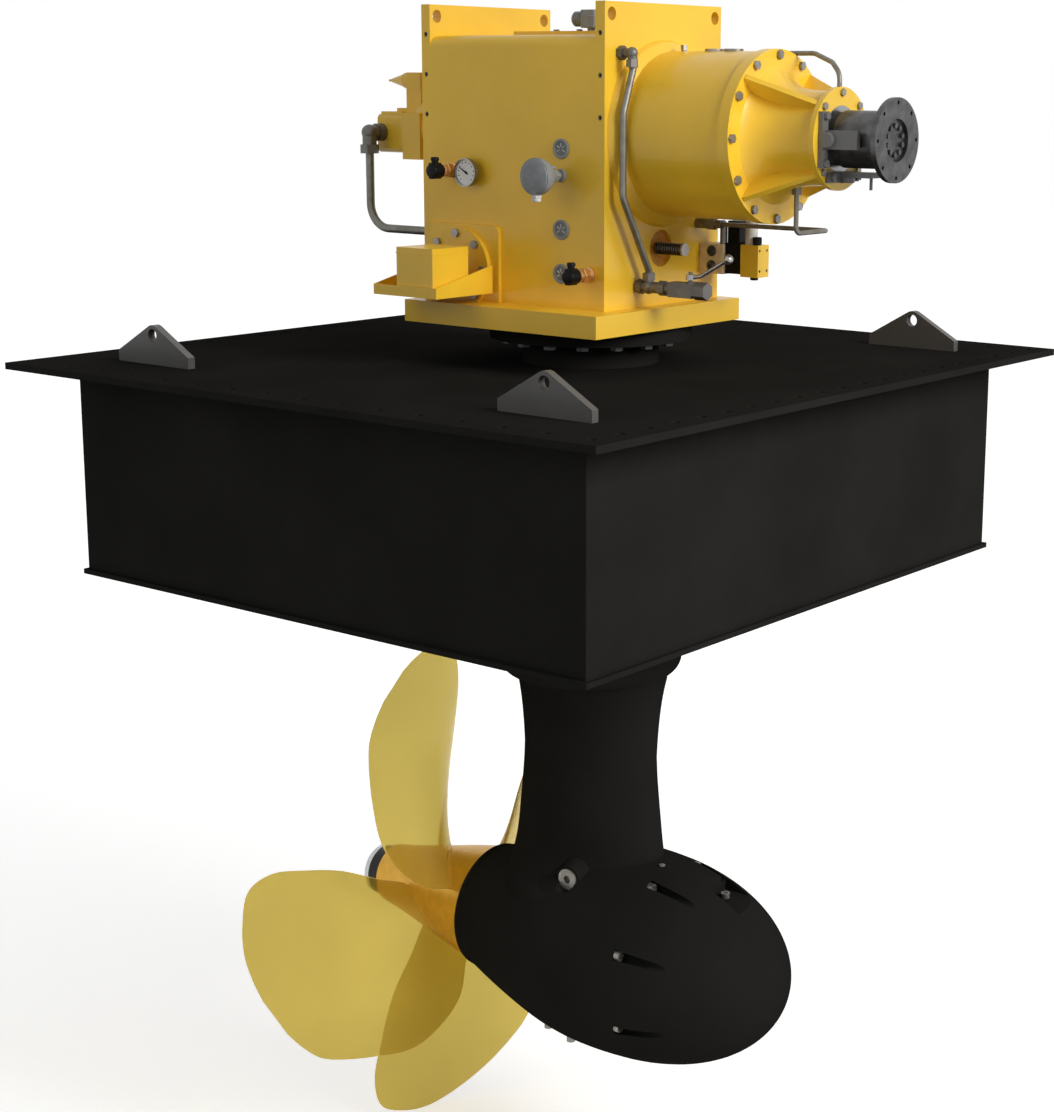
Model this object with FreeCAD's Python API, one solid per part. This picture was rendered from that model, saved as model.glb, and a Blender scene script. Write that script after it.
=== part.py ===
import FreeCAD, Part
import math
import os

# Stern thruster for a well in a ship's stern: gear unit on top, welded well through the hull,
# and below it a fixed leg with a pod and a four-bladed propeller.
# Drawn from the vertical drive axis at the underside of the well's top plate, then moved so that
# the origin is the middle of the hull bolts. +Z up, +X towards the coupling, propeller at -X. Millimetres.

V = FreeCAD.Vector
X, Y, Z = V(1, 0, 0), V(0, 1, 0), V(0, 0, 1)

# Well and hull flange
plate_length = 1800.0
plate_width = 1886.0
plate_thick = 16.0
plate_shift = -128.0          # middle of the plate, measured from the drive axis
plate_overhang = 121.0
wall_thick = 15.0
well_depth = 503.0
floor_thick = 12.0
floor_lip = 9.0
hull_bolt_inset = 53.0
hull_hole_radius = 11.0
hull_bays_x = 15
hull_bays_y = 20
web_thick = 12.0
web_hole_radius = 70.0

# Lifting lugs
lug_spread_x = 604.0
lug_spread_y = 732.0
lug_length = 250.0
lug_height = 94.0
lug_thick = 20.0
lug_tip_radius = 24.0
lug_foot_height = 26.0
lug_hole_radius = 15.0

# Stem between leg and gear unit
stem_radius = 166.0
stem_wall = 18.0
stem_rise = 60.0              # free height of the stem above the plate
stem_flange_radius = 245.0
stem_flange_thick = 39.0
stem_bolt_count = 16
stem_bolt_circle = 205.0
stem_bolt_radius = 9.0
leg_bolt_circle = 200.0
leg_bolt_radius = 10.0
bolt_play = 0.1

# Leg: strut and pod in one casting
leg_flange_radius = 232.0
leg_flange_thick = 30.0
prop_axis_drop = 1480.0       # propeller axis below the seating plane
pod_aft = -310.0
pod_aft_radius = 165.0
pod_radius = 264.0            # widest place of the pod
pod_widest = 120.0
pod_seam = 236.0              # joint between casting and nose cap, just ahead of the strut
pod_nose = 588.0
nose_wall = 26.0
nose_hollow_radius = 165.0
gear_room = 15.5              # round the lower crown wheel
pinion_room = 14.6            # round the lower pinion
guard_thick = 12.0
guard_radius = 166.0
guard_bore = 140.0
run_gap = 1.0

# Strut: drop below its flange, half length and half width of each section
strut_sections = [(0, 222, 152), (40, 212, 136), (130, 200, 121), (330, 193, 115), (480, 196, 116),
                  (620, 210, 121), (700, 221, 127), (735, 226, 144), (765, 229, 172), (800, 230, 200)]

# Plugs of the pod
side_plug_x, side_plug_reach, side_plug_rise = 53.0, 152.0, 213.0
side_plug_radius = 27.0
side_boss_radius = 33.0
side_boss_foot = 58.0
drain_spots = [(-72.0, -80.0), (-69.0, -45.0), (3.0, -80.0), (17.0, -45.0)]
drain_radius = 9.0
drain_head_radius = 11.0
drain_neck, drain_head = 10.0, 14.0
notch_x0, notch_x1 = 356.0, 500.0
notch_y0, notch_y1 = -13.0, 100.0
notch_floor = 183.0
notch_screw = (387.0, 55.0)
top_plug = (250.0, -25.0)

# Nose bolts in their pockets
nose_bolt_count = 8
nose_bolt_circle = 242.0
nose_bolt_radius = 8.0
nose_flange_thick = 27.0
nose_bolt_depth = 40.0
pocket_radius = 20.0
pocket_tip_radius = 6.0
pocket_length = 140.0
pocket_drop = 14.0            # the pocket runs this much nearer to the axis at its tip

# Propeller
blade_count = 4
blade_span = 616.0
blade_plane = -422.0
hub_aft = -690.0
hub_front_radius = 158.0
hub_aft_radius = 82.0
cap_length = 55.0
cap_root_radius = 75.0
cap_end_radius = 64.0
cap_disc_thick = 7.0
prop_shaft_radius = 55.0
fit_gap = 0.05
# Blade sections: height along the blade as a share of its span, chord, sweep, pitch, thickness
blade_table = [(0.13, 240, 33, 754, 46), (0.22, 320, 43, 774, 40), (0.34, 470, 55, 801, 33),
               (0.48, 571, 80, 833, 27), (0.62, 630, 116, 863, 21), (0.76, 590, 153, 891, 16),
               (0.87, 480, 156, 911, 12), (0.94, 368, 150, 925, 9.5), (0.975, 244, 147, 931, 8),
               (0.993, 122, 145, 935, 7)]
blade_lean = 28.0             # turn of the first blade from straight up
blade_rake = -75.0            # the tips stand this much further along the shaft

# Gears: tooth counts, outer module, face width
lower_pinion_teeth = 13
lower_wheel_teeth = 31
lower_module = 11.9
lower_face = 52.0
upper_pinion_teeth = 20
upper_wheel_teeth = 24
upper_module = 12.5
upper_face = 46.0
tooth_share = 0.40            # tooth thickness over circular pitch, the rest is backlash
addendum = 0.85
dedendum = 1.15
pressure_angle = 20.0
drive_shaft_radius = 42.0
gear_backing = 22.0
gear_rim = 0.014              # blank beyond both tooth ends, share of the cone length
bearing_section = 40.0        # outer radius less shaft radius
bearing_depth = 46.0
seal_depth = 30.0

# Gear unit
input_rise = 395.0            # input shaft above the base plate
base_x0, base_x1 = -320.0, 267.0
base_y0, base_y1 = -314.0, 245.0
base_thick = 52.0
side_half_width = 222.0
side_height = 689.0
side_thick = 26.7
drive_face = 217.0
pump_face = -339.0
side_hole_radius = 15.0
side_hole_y = 197.0
side_hole_drop = 27.0
edge_screw_drops = (69.0, 162.0, 255.0)
edge_screw_radius = 6.0
edge_screw_depth = 24.0
case_height = 617.0
case_wall = 20.0
case_round = 26.0
lid_x0, lid_x1, lid_half = -130.0, 120.0, 130.0
lid_thick = 10.0

# Clutch housing and input housing
clutch_radius = 188.0
clutch_wall = 14.0
clutch_root_radius = 214.0
drive_bore_radius = 90.0
pump_bore_radius = 40.0
clutch_root_length = 26.0
clutch_length = 302.0
joint_flange_thick = 14.0
joint_flange_radius = 193.0
joint_bolt_circle = 180.5
joint_bolt_count = 12
joint_bolt_radius = 6.0
nozzle_length = 181.0
nozzle_root_radius = 150.0
nozzle_tip_radius = 101.0
nozzle_wall = 20.0
nozzle_flange_radius = 112.0
nozzle_flange_thick = 12.0
rib_reach = 187.0
rib_thick = 12.0
nozzle_bolt_circle = 100.0
input_shaft_radius = 32.0
input_bore_radius = 72.0
cap_spots = (358.0, 411.0)
breather_x = 272.0

# Coupling
collar_length = 15.0
hub_radius = 62.0
coupling_length = 126.0
coupling_radius = 91.0
coupling_thick = 12.0
coupling_hole_circle = 80.0
coupling_hole_radius = 4.5
coupling_hole_count = 8
coupling_recess_radius = 46.0
coupling_recess_depth = 9.0
clamp_bolt_count = 10
clamp_bolt_circle = 31.0
clamp_bolt_radius = 5.5
collar_radius = 58.0

# Brake arms beside the drum
arm_offset = 82.0
arm_bar_half = 60.0
arm_bar_width = 22.0
arm_bar_thick = 12.0
arm_length = 92.0
arm_half_width = 20.0
arm_thick = 12.0
arm_boss_radius = 17.0
arm_bolt_half = 51.0

# Front face fittings
face_column_x = 92.0
sight_rises = (363.0, 180.0, 79.0)
sight_radius = 23.0
sight_glass_radius = 12.0
sensor_rise = 303.0
dial_x, dial_rise = -178.0, 302.0
dial_radius = 33.0
dial_depth = 14.0
dial_standoff = 18.0
needle_rest = 60.0
elbow_rises = ((-238.0, 305.0), (176.0, 82.0))
cover_x, cover_rise = -215.0, 75.0
cover_radius = 99.0
cover_thick = 12.0
cover_bolt_circle = 84.0
cover_bolt_count = 8
pad_right, pad_height = -92.0, 180.0
pad_proud = 10.0
tray_x0, tray_x1 = -300.0, -101.0
tray_reach = 194.0            # in front of the cover
tray_rise = 23.0
tray_sheet = 3.0
tray_lip = 24.0
tray_cheek = 66.0
box_x0, box_x1 = -232.0, -116.0
box_depth = 122.0
box_height = 110.0

# Pump side
pump_reach = 181.0            # from the pump plate to the pump body
pump_length = 130.0
pump_half_depth = 60.0
pump_drop, pump_rise = 62.0, 34.0
pump_neck_radius = 70.0
pump_port_inset = 14.0
pump_pipe_out = 44.0
pump_pipe_drop = 250.0
pipe_radius = 10.5

# Drive side
plunger_y, plunger_rise = -8.0, 132.0
plunger_ring_radius = 43.0
plunger_pin_radius = 9.0
plunger_reach = 71.0
plunger_recess = 15.0         # depth of the round recess in the drive plate
spring_turns, spring_wire = 11, 4.4
tube_out = 35.0               # tube in front of the drive plate
tube_radius = 8.0
valve_y, valve_rise = -100.0, 50.0
valve_out = 154.0
block_y0 = 145.0
block_rise = 65.0
block_size = 71.0
return_y, return_rise = 135.0, 184.0
thin_pipe_radius = 5.5
over_y, over_rise = 78.0, 184.0   # brake pipe over the joint

# Worked out from the above
plate_x0 = plate_shift - plate_length / 2
plate_x1 = plate_shift + plate_length / 2
well_half_x = plate_length / 2 - plate_overhang
well_half_y = plate_width / 2 - plate_overhang
well_x0, well_x1 = plate_shift - well_half_x, plate_shift + well_half_x
floor_z = -well_depth
unit_z = plate_thick + stem_rise + stem_flange_thick
base_top = unit_z + base_thick
input_height = base_top + input_rise
side_top = base_top + side_height
case_top = base_top + case_height
case_x0, case_x1 = pump_face + side_thick, drive_face - side_thick
front_y = -side_half_width
cover_y = front_y - pad_proud
cover_z = base_top + cover_rise
sensor_height = base_top + sensor_rise
dial_z = base_top + dial_rise
sight_heights = [base_top + rise for rise in sight_rises]
elbow_spots = [(x, base_top + rise) for x, rise in elbow_rises]
tray_z = base_top + tray_rise
tray_y0 = cover_y - cover_thick - tray_reach
joint_x = drive_face + clutch_length
nozzle_x = joint_x + nozzle_length
nozzle_flange_x = nozzle_x - nozzle_flange_thick
hub_start = nozzle_x + collar_length + run_gap
coupling_face = hub_start + coupling_length
pump_x1 = pump_face - pump_reach
pump_x0 = pump_x1 - pump_length
pump_z0, pump_z1 = input_height - pump_drop, input_height + pump_rise
plunger_z = base_top + plunger_rise
tube_x = drive_face + tube_out
valve_x, valve_z = drive_face + valve_out, base_top + valve_rise
block_z0 = base_top + block_rise
block_z1 = block_z0 + block_size
return_z = base_top + return_rise
prop_z = -prop_axis_drop
hub_front = pod_aft - guard_thick - run_gap
wheel_radius = lower_wheel_teeth * lower_module / 2
pod_cavity_radius = wheel_radius + gear_room
shaft_bore_radius = lower_pinion_teeth * lower_module / 2 + pinion_room
prop_seat_radius = prop_shaft_radius + bearing_section
nose_bolt_seat = pod_seam + nose_flange_thick
front_bearing_x = pod_seam - bearing_depth
aft_bearing_x = pod_aft + seal_depth + 4
middle_bearing_x = -shaft_bore_radius - bearing_depth

files = []


def save(name, shape):
    """Write one sub-part to its STEP file."""
    files.append(name)
    moved = shape.copy()
    moved.translate(V(-plate_shift, 0, 0))
    moved.exportStep("parts/%s.step" % name)


def group(shapes):
    """Separate solids in one sub-part."""
    return Part.makeCompound(shapes)


def bar(radius, start, end):
    """Round bar between two points."""
    return Part.makeCylinder(radius, (end - start).Length, start, end - start)


def ring(outer, inner, start, end):
    """Round tube between two points."""
    return bar(outer, start, end).cut(bar(inner, start, end))


def block(x0, x1, y0, y1, z0, z1):
    """Box between two corners."""
    return Part.makeBox(x1 - x0, y1 - y0, z1 - z0, V(x0, y0, z0))


def prism(points, sweep):
    """Flat outline pushed along a vector."""
    return Part.Face(Part.makePolygon(points + [points[0]])).extrude(sweep)


def hexagon(across, centre, axis, height):
    """Hexagonal head standing on a point."""
    angle = [math.radians(60 * k) for k in range(6)]
    r = across / 2 / math.cos(math.pi / 6)
    flat = prism([V(r * math.cos(a), r * math.sin(a), 0) for a in angle], V(0, 0, height))
    flat.Placement = FreeCAD.Placement(centre, FreeCAD.Rotation(Z, axis))
    return flat


def screw(radius, seat, axis, grip):
    """Hexagon bolt: head on its seat, shank the other way into the work."""
    head = hexagon(3.1 * radius, seat, axis, 1.3 * radius)
    return head.fuse(bar(radius, seat + axis * 0.2 * radius, seat - axis * grip)) if grip else head


def cap_screw(radius, seat, axis, grip):
    """Socket head screw: round head with a hexagon socket."""
    head = bar(1.6 * radius, seat, seat + axis * 1.8 * radius)
    head = head.cut(hexagon(1.7 * radius, seat + axis * 0.9 * radius, axis, radius))
    return head.fuse(bar(radius, seat + axis * 0.2 * radius, seat - axis * grip))


def turned(points, axis_z, curve=False):
    """Solid turned about a line along X from (x, radius) points."""
    pts = [V(x, 0, axis_z + r) for x, r in points]
    if curve:
        spline = Part.BSplineCurve()
        spline.interpolate(pts)
        edges = [spline.toShape()]
    else:
        edges = [Part.makeLine(a, b) for a, b in zip(pts, pts[1:])]
    first, last = V(pts[0].x, 0, axis_z), V(pts[-1].x, 0, axis_z)
    if pts[-1].z - axis_z > 1e-6:
        edges.append(Part.makeLine(pts[-1], last))
    edges.append(Part.makeLine(last, first))
    edges.append(Part.makeLine(first, pts[0]))
    return Part.Face(Part.Wire(edges)).revolve(V(0, 0, axis_z), X, 360)


def around_x(shape, count, axis_z, start=0.0):
    """Copies of a shape about a line along X, the first one turned by start degrees."""
    copies = []
    for k in range(count):
        copy = shape.copy()
        copy.rotate(V(0, 0, axis_z), X, start + 360.0 * k / count)
        copies.append(copy)
    return copies


def pipe(points, radius, bend):
    """Pipe of straight runs joined by arcs of one bend radius."""
    edges, here = [], points[0]
    for before, corner, after in zip(points, points[1:], points[2:]):
        into, out = (corner - before).normalize(), (after - corner).normalize()
        half = into.getAngle(out) / 2
        cut = bend * math.tan(half)
        start, end = corner - into * cut, corner + out * cut
        middle = corner + (out - into).normalize() * bend * (1 / math.cos(half) - 1)
        edges.append(Part.makeLine(here, start))
        edges.append(Part.Arc(start, middle, end).toShape())
        here = end
    edges.append(Part.makeLine(here, points[-1]))
    circle = Part.Wire(Part.makeCircle(radius, points[0], points[1] - points[0]))
    return Part.Wire(edges).makePipeShell([circle], True, True)


# Well

def hull_holes():
    """Centres of the bolt holes along the four sides of the top plate."""
    half_x = plate_length / 2 - hull_bolt_inset
    half_y = plate_width / 2 - hull_bolt_inset
    spots = set()
    for i in range(hull_bays_x + 1):
        for j in range(hull_bays_y + 1):
            if i in (0, hull_bays_x) or j in (0, hull_bays_y):
                spots.add((plate_shift - half_x + 2 * half_x * i / hull_bays_x,
                           -half_y + 2 * half_y * j / hull_bays_y))
    return sorted(spots)


def well():
    """Top plate, four walls, floor and inner webs."""
    top = block(plate_x0, plate_x1, -plate_width / 2, plate_width / 2, 0, plate_thick)
    holes = [bar(hull_hole_radius, V(x, y, -1), V(x, y, plate_thick + 1)) for x, y in hull_holes()]
    stem_hole = bar(stem_radius + bolt_play, V(0, 0, floor_z - 1), V(0, 0, plate_thick + 1))
    save("well_top_plate", top.cut(group(holes + [stem_hole])))

    z0, z1 = floor_z + floor_thick, 0.0
    save("well_wall_port", block(well_x0, well_x1, well_half_y - wall_thick, well_half_y, z0, z1))
    save("well_wall_starboard", block(well_x0, well_x1, -well_half_y, wall_thick - well_half_y, z0, z1))
    inner_y = well_half_y - wall_thick
    save("well_wall_fore", block(well_x1 - wall_thick, well_x1, -inner_y, inner_y, z0, z1))
    save("well_wall_aft", block(well_x0, well_x0 + wall_thick, -inner_y, inner_y, z0, z1))

    floor = block(well_x0 - floor_lip, well_x1 + floor_lip, -well_half_y - floor_lip,
                  well_half_y + floor_lip, floor_z, z0)
    bore = bar(stem_radius - stem_wall, V(0, 0, floor_z - 1), V(0, 0, z0 + 1))
    save("well_floor", floor.cut(group([bore] + leg_bolt_holes(floor_z - 1, z0 + 1))))

    webs = []
    reach = ((well_x1 - wall_thick, 0.0), (well_x0 + wall_thick, 0.0), (0.0, inner_y), (0.0, -inner_y))
    for x, y in reach:
        along = V(x, y, 0).normalize()
        side = V(-along.y, along.x, 0) * (web_thick / 2)
        start, end = along * (stem_radius / 2), V(x, y, 0)
        up, low = V(0, 0, z1), V(0, 0, z0)
        web = prism([start + side + low, end + side + low, end + side + up, start + side + up], side * -2)
        middle = (along * stem_radius + end) * 0.5 + V(0, 0, (z0 + z1) / 2)
        web = web.cut(bar(web_hole_radius, middle - side * 3, middle + side * 3))
        clear = bar(leg_bolt_circle + 3 * leg_bolt_radius, V(0, 0, z0 - 1), V(0, 0, z0 + 3 * leg_bolt_radius))
        webs.append(web.cut(bar(stem_radius, V(0, 0, z0 - 1), V(0, 0, 1))).cut(clear))
    save("well_webs", group(webs))


def lugs():
    """Four lifting lugs with a round tip and an eye."""
    half, tip_z = lug_length / 2, lug_height - lug_tip_radius
    slope = math.atan2(tip_z - lug_foot_height, half)
    for _ in range(6):
        slope = math.atan2(tip_z + lug_tip_radius * math.cos(slope) - lug_foot_height,
                           half - lug_tip_radius * math.sin(slope))
    touch = V(lug_tip_radius * math.sin(slope), 0, tip_z + lug_tip_radius * math.cos(slope))
    mirror = V(-touch.x, 0, touch.z)
    corners = [V(-half, 0, 0), V(half, 0, 0), V(half, 0, lug_foot_height), touch]
    edges = [Part.makeLine(a, b) for a, b in zip(corners, corners[1:])]
    edges.append(Part.Arc(touch, V(0, 0, lug_height), mirror).toShape())
    edges.append(Part.makeLine(mirror, V(-half, 0, lug_foot_height)))
    edges.append(Part.makeLine(V(-half, 0, lug_foot_height), corners[0]))
    lug = Part.Face(Part.Wire(edges)).extrude(V(0, lug_thick, 0))
    lug = lug.cut(bar(lug_hole_radius, V(0, -1, tip_z), V(0, lug_thick + 1, tip_z)))
    copies = []
    for sx in (-1, 1):
        for sy in (-1, 1):
            copy = lug.copy()
            copy.translate(V(plate_shift + sx * lug_spread_x, sy * lug_spread_y - lug_thick / 2, plate_thick))
            copies.append(copy)
    save("lifting_lugs", group(copies))


# Stem

def circle_spots(count, radius, start=0.0):
    """Points on a circle about the vertical axis."""
    angles = [math.radians(start + 360.0 * k / count) for k in range(count)]
    return [(radius * math.cos(a), radius * math.sin(a)) for a in angles]


def leg_bolt_holes(z0, z1):
    spots = circle_spots(stem_bolt_count, leg_bolt_circle, 180.0 / stem_bolt_count)
    return [bar(leg_bolt_radius + bolt_play, V(x, y, z0), V(x, y, z1)) for x, y in spots]


def stem():
    """Stem tube with its flange under the gear unit, and the bolts at both ends."""
    foot_z, flange_z = floor_z + floor_thick, unit_z - stem_flange_thick
    body = bar(stem_radius, V(0, 0, foot_z), V(0, 0, unit_z))
    body = body.fuse(bar(stem_flange_radius, V(0, 0, flange_z), V(0, 0, unit_z)))
    body = body.cut(bar(stem_radius - stem_wall, V(0, 0, foot_z - 1), V(0, 0, unit_z + 1)))
    spots = circle_spots(stem_bolt_count, stem_bolt_circle, 180.0 / stem_bolt_count)
    holes = [bar(stem_bolt_radius + bolt_play, V(x, y, flange_z - 1), V(x, y, unit_z + 1)) for x, y in spots]
    save("stem_tube", body.cut(group(holes)))

    grip = stem_flange_thick + base_thick / 2
    bolts = [screw(stem_bolt_radius, V(x, y, flange_z), -Z, grip) for x, y in spots]
    for x, y in circle_spots(stem_bolt_count, leg_bolt_circle, 180.0 / stem_bolt_count):
        bolts.append(screw(leg_bolt_radius, V(x, y, foot_z), Z, floor_thick + leg_flange_thick * 0.8))
    save("stem_bolts", group(bolts))


# Leg

def ellipse_wire(half_x, half_y, z):
    curve = Part.Ellipse(V(0, 0, z), half_x, half_y)
    return Part.Wire(curve.toShape())


def pod_outline():
    """Pod radius along the casting, from the rope guard to the nose cap."""
    full = pod_widest - pod_aft
    share = [(0.0, 0.0), (0.14, 0.22), (0.37, 0.54), (0.60, 0.81), (0.81, 0.96), (1.0, 1.0)]
    rise = pod_radius - pod_aft_radius
    return [(pod_aft + u * full, pod_aft_radius + q * rise) for u, q in share] + [(pod_seam, nose_radius(pod_seam))]


def nose_radius(x):
    """Radius of the egg-shaped nose ahead of the widest place."""
    u = (x - pod_widest) / (pod_nose - pod_widest)
    return pod_radius * math.sqrt(max(0.0, 1.0 - u ** 2.35))


def nose_outline():
    """Nose cap from its joint to the round nose."""
    length = pod_nose - pod_seam
    steps = [math.sin(math.pi / 2 * k / 10) for k in range(11)]
    return [(pod_seam + length * u, nose_radius(pod_seam + length * u)) for u in steps]


def pod_radius_at(x):
    """Straight-line reading of the casting's outline."""
    outline = pod_outline()
    for (xa, ra), (xb, rb) in zip(outline, outline[1:]):
        if xa <= x <= xb:
            return ra + (rb - ra) * (x - xa) / (xb - xa)


def drain_top(x, y):
    """Height of the pod's underside below its axis over a drain plug."""
    return math.sqrt(pod_radius_at(x) ** 2 - y * y)


def nose_bolt_pockets(radius, x0, x1):
    one = bar(radius, V(x0, 0, prop_z + nose_bolt_circle), V(x1, 0, prop_z + nose_bolt_circle))
    return around_x(one, nose_bolt_count, prop_z, 180.0 / nose_bolt_count)


side_plug = V(side_plug_x, -side_plug_reach, prop_z + side_plug_rise)
top_plug_height = math.sqrt(nose_radius(top_plug[0]) ** 2 - top_plug[1] ** 2)


def leg():
    """Strut and pod casting with its bores."""
    under = floor_z - leg_flange_thick
    body = bar(leg_flange_radius, V(0, 0, under), V(0, 0, floor_z))
    rim = [e for e in body.Edges if e.BoundBox.ZMax < under + 1 and e.BoundBox.XLength > 1]
    body = body.makeFillet(leg_flange_thick / 2, rim)
    wires = [ellipse_wire(a, b, under - drop) for drop, a, b in strut_sections]
    foot_drop, foot_a, foot_b = strut_sections[-1]
    wires.append(ellipse_wire(foot_a, foot_b, prop_z))
    strut = Part.makeLoft(wires, True, False)
    strut = strut.common(block(-pod_radius, pod_seam, -pod_radius, pod_radius, prop_z, floor_z))
    pod = turned(pod_outline(), prop_z, curve=True)
    boss = Part.makeCone(side_boss_radius, side_boss_foot, 60.0, side_plug, Y)
    body = body.fuse([strut, pod, boss])
    bores = [bar(shaft_bore_radius, V(0, 0, prop_z), V(0, 0, floor_z + 1)),
             bar(pod_cavity_radius, V(-24, 0, prop_z), V(pod_seam + 1, 0, prop_z)),
             bar(prop_seat_radius, V(aft_bearing_x, 0, prop_z), V(0, 0, prop_z)),
             bar(prop_shaft_radius + 14, V(pod_aft - 1, 0, prop_z), V(0, 0, prop_z)),
             bar(side_plug_radius * 0.7, V(side_plug.x, -100, side_plug.z), side_plug),
             bar(side_plug_radius + run_gap, side_plug - Y * 30, side_plug)]
    bores += nose_bolt_pockets(nose_bolt_radius + bolt_play, pod_seam - nose_bolt_depth - 1, pod_seam + 1)
    bores += leg_bolt_holes(floor_z - leg_flange_thick * 0.85, floor_z + 1)
    bores += [bar(drain_radius, V(x, y, prop_z - pod_radius - 20), V(x, y, prop_z - drain_top(x, y) + 22))
              for x, y in drain_spots]
    save("leg_casting", body.cut(group(bores)))


def nose_cap():
    """Hollow nose cap with bolt pockets round it and a vent pocket on top."""
    outer = turned(nose_outline(), prop_z, curve=True)
    spigot = bar(pod_cavity_radius - fit_gap, V(front_bearing_x, 0, prop_z), V(pod_seam + 1, 0, prop_z))
    web_end, shoulder = nose_bolt_seat + 6.0, prop_shaft_radius + 12
    inner = [(front_bearing_x - 1, prop_seat_radius), (pod_seam, prop_seat_radius), (pod_seam, shoulder),
             (web_end, shoulder), (web_end, nose_hollow_radius)]
    inner += [(x, min(q - nose_wall, nose_hollow_radius)) for x, q in nose_outline()
              if x > web_end + 60 and q > 3 * nose_wall]
    inner.append((pod_nose - nose_wall, 0.0))
    body = outer.fuse(spigot).cut(turned(inner, prop_z))
    back = 12.0                # the cone starts behind the seat, so that the seat stays square
    pocket = Part.makeCone(pocket_radius, pocket_tip_radius, pocket_length + back,
                           V(nose_bolt_seat - back, 0, prop_z + nose_bolt_circle + pocket_drop * back / pocket_length),
                           V(pocket_length, 0, -pocket_drop))
    pocket = pocket.common(block(nose_bolt_seat, pod_nose, -60, 60, prop_z, prop_z + 2 * pod_radius))
    cuts = around_x(pocket, nose_bolt_count, prop_z, 180.0 / nose_bolt_count)
    cuts += nose_bolt_pockets(nose_bolt_radius + bolt_play, pod_seam - 1, nose_bolt_seat + 1)
    floor = prop_z + notch_floor
    cuts.append(block(notch_x0, notch_x1, notch_y0, notch_y1, floor, prop_z + pod_radius))
    cuts.append(bar(7.0, V(*notch_screw, floor - 14), V(*notch_screw, floor + 1)))
    plug_z = prop_z + top_plug_height
    cuts.append(bar(5.0, V(*top_plug, plug_z - 12), V(*top_plug, plug_z + 9)))
    save("nose_cap", body.cut(group(cuts)))

    bolt = cap_screw(nose_bolt_radius, V(nose_bolt_seat, 0, prop_z + nose_bolt_circle), X,
                     nose_flange_thick + nose_bolt_depth)
    save("nose_bolts", group(around_x(bolt, nose_bolt_count, prop_z, 180.0 / nose_bolt_count)))


def pod_trim():
    """Rope guard ring and the plugs of the pod."""
    save("rope_guard", ring(guard_radius, guard_bore, V(pod_aft - guard_thick, 0, prop_z), V(pod_aft, 0, prop_z)))
    plug = bar(side_plug_radius, side_plug, side_plug - Y * 5)
    plug = plug.fuse(bar(side_plug_radius * 0.7, side_plug + Y * 30, side_plug))
    plug = plug.cut(hexagon(19.0, side_plug - Y * 6, Y, 14.0))
    plugs = [plug]
    for x, y in drain_spots:
        skin = prop_z - drain_top(x, y)
        neck = skin - drain_neck
        stub = bar(drain_radius, V(x, y, neck), V(x, y, skin + 22))
        plugs.append(stub.fuse(bar(drain_head_radius, V(x, y, neck - drain_head), V(x, y, neck))))
    plugs.append(cap_screw(7.0, V(*notch_screw, prop_z + notch_floor), Z, 14.0))
    top = prop_z + top_plug_height
    plugs.append(bar(5.0, V(*top_plug, top - 12), V(*top_plug, top)).fuse(
        bar(8.0, V(*top_plug, top + 1.4), V(*top_plug, top + 4)).fuse(
            bar(5.0, V(*top_plug, top - 1), V(*top_plug, top + 2)))))
    save("pod_plugs", group(plugs))


# Propeller

def blade_wire(share, chord, sweep, pitch, thick):
    """Aerofoil section across the blade at a share of its span, round nose towards the pod."""
    r = share * blade_span
    angle = math.atan2(pitch, 2 * math.pi * r)
    chord_dir = V(-math.sin(angle), math.cos(angle), 0)
    normal = V(math.cos(angle), math.sin(angle), 0)
    centre = V(blade_plane + blade_rake * share, 0, r)
    count = 9
    back, face = [], []
    for k in range(count):
        u = 0.5 - 0.5 * math.cos(math.pi * k / (count - 1))
        half = thick * (0.06 + 1.1 * math.sqrt(u) * (1 - u) ** 0.9) / 2
        arch = 0.05 * chord * u * (1 - u)
        spot = centre + chord_dir * ((u - 0.5) * chord + sweep)
        back.append(spot + normal * (arch + half))
        face.append(spot + normal * (arch - half))
    edges = []
    for side in (back, face):
        curve = Part.BSplineCurve()
        curve.interpolate(side)
        edges.append(curve.toShape())
    nose, tail = Part.makeLine(face[0], back[0]), Part.makeLine(back[-1], face[-1])
    return Part.Wire([edges[0], tail, edges[1], nose])


def propeller():
    """Hub with four blades, end cap and shaft."""
    rise = hub_front_radius - hub_aft_radius
    share = [(0.0, 0.0), (0.25, 0.21), (0.57, 0.57), (0.9, 0.92), (1.0, 1.0)]
    hub = turned([(hub_aft + u * (hub_front - hub_aft), hub_aft_radius + q * rise) for u, q in share],
                 prop_z, curve=True)
    blade = Part.makeLoft([blade_wire(*row) for row in blade_table], True, False)
    blade.translate(V(0, 0, prop_z))
    blades = [b.cut(hub) for b in around_x(blade, blade_count, prop_z, blade_lean)]
    save("propeller_blades", group(blades))
    bore = bar(prop_shaft_radius + fit_gap, V(hub_aft - 1, 0, prop_z), V(hub_front + 1, 0, prop_z))
    save("propeller_hub", hub.cut(bore))
    end = hub_aft - cap_length
    cap = turned([(end, cap_end_radius + 6), (hub_aft, cap_root_radius)], prop_z)
    cap = cap.fuse(bar(cap_end_radius, V(end - cap_disc_thick, 0, prop_z), V(end, 0, prop_z)))
    save("propeller_cap", cap)
    save("propeller_shaft", bar(prop_shaft_radius, V(hub_aft, 0, prop_z), V(pod_seam, 0, prop_z)))


# Gears, shafts and bearings

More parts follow.
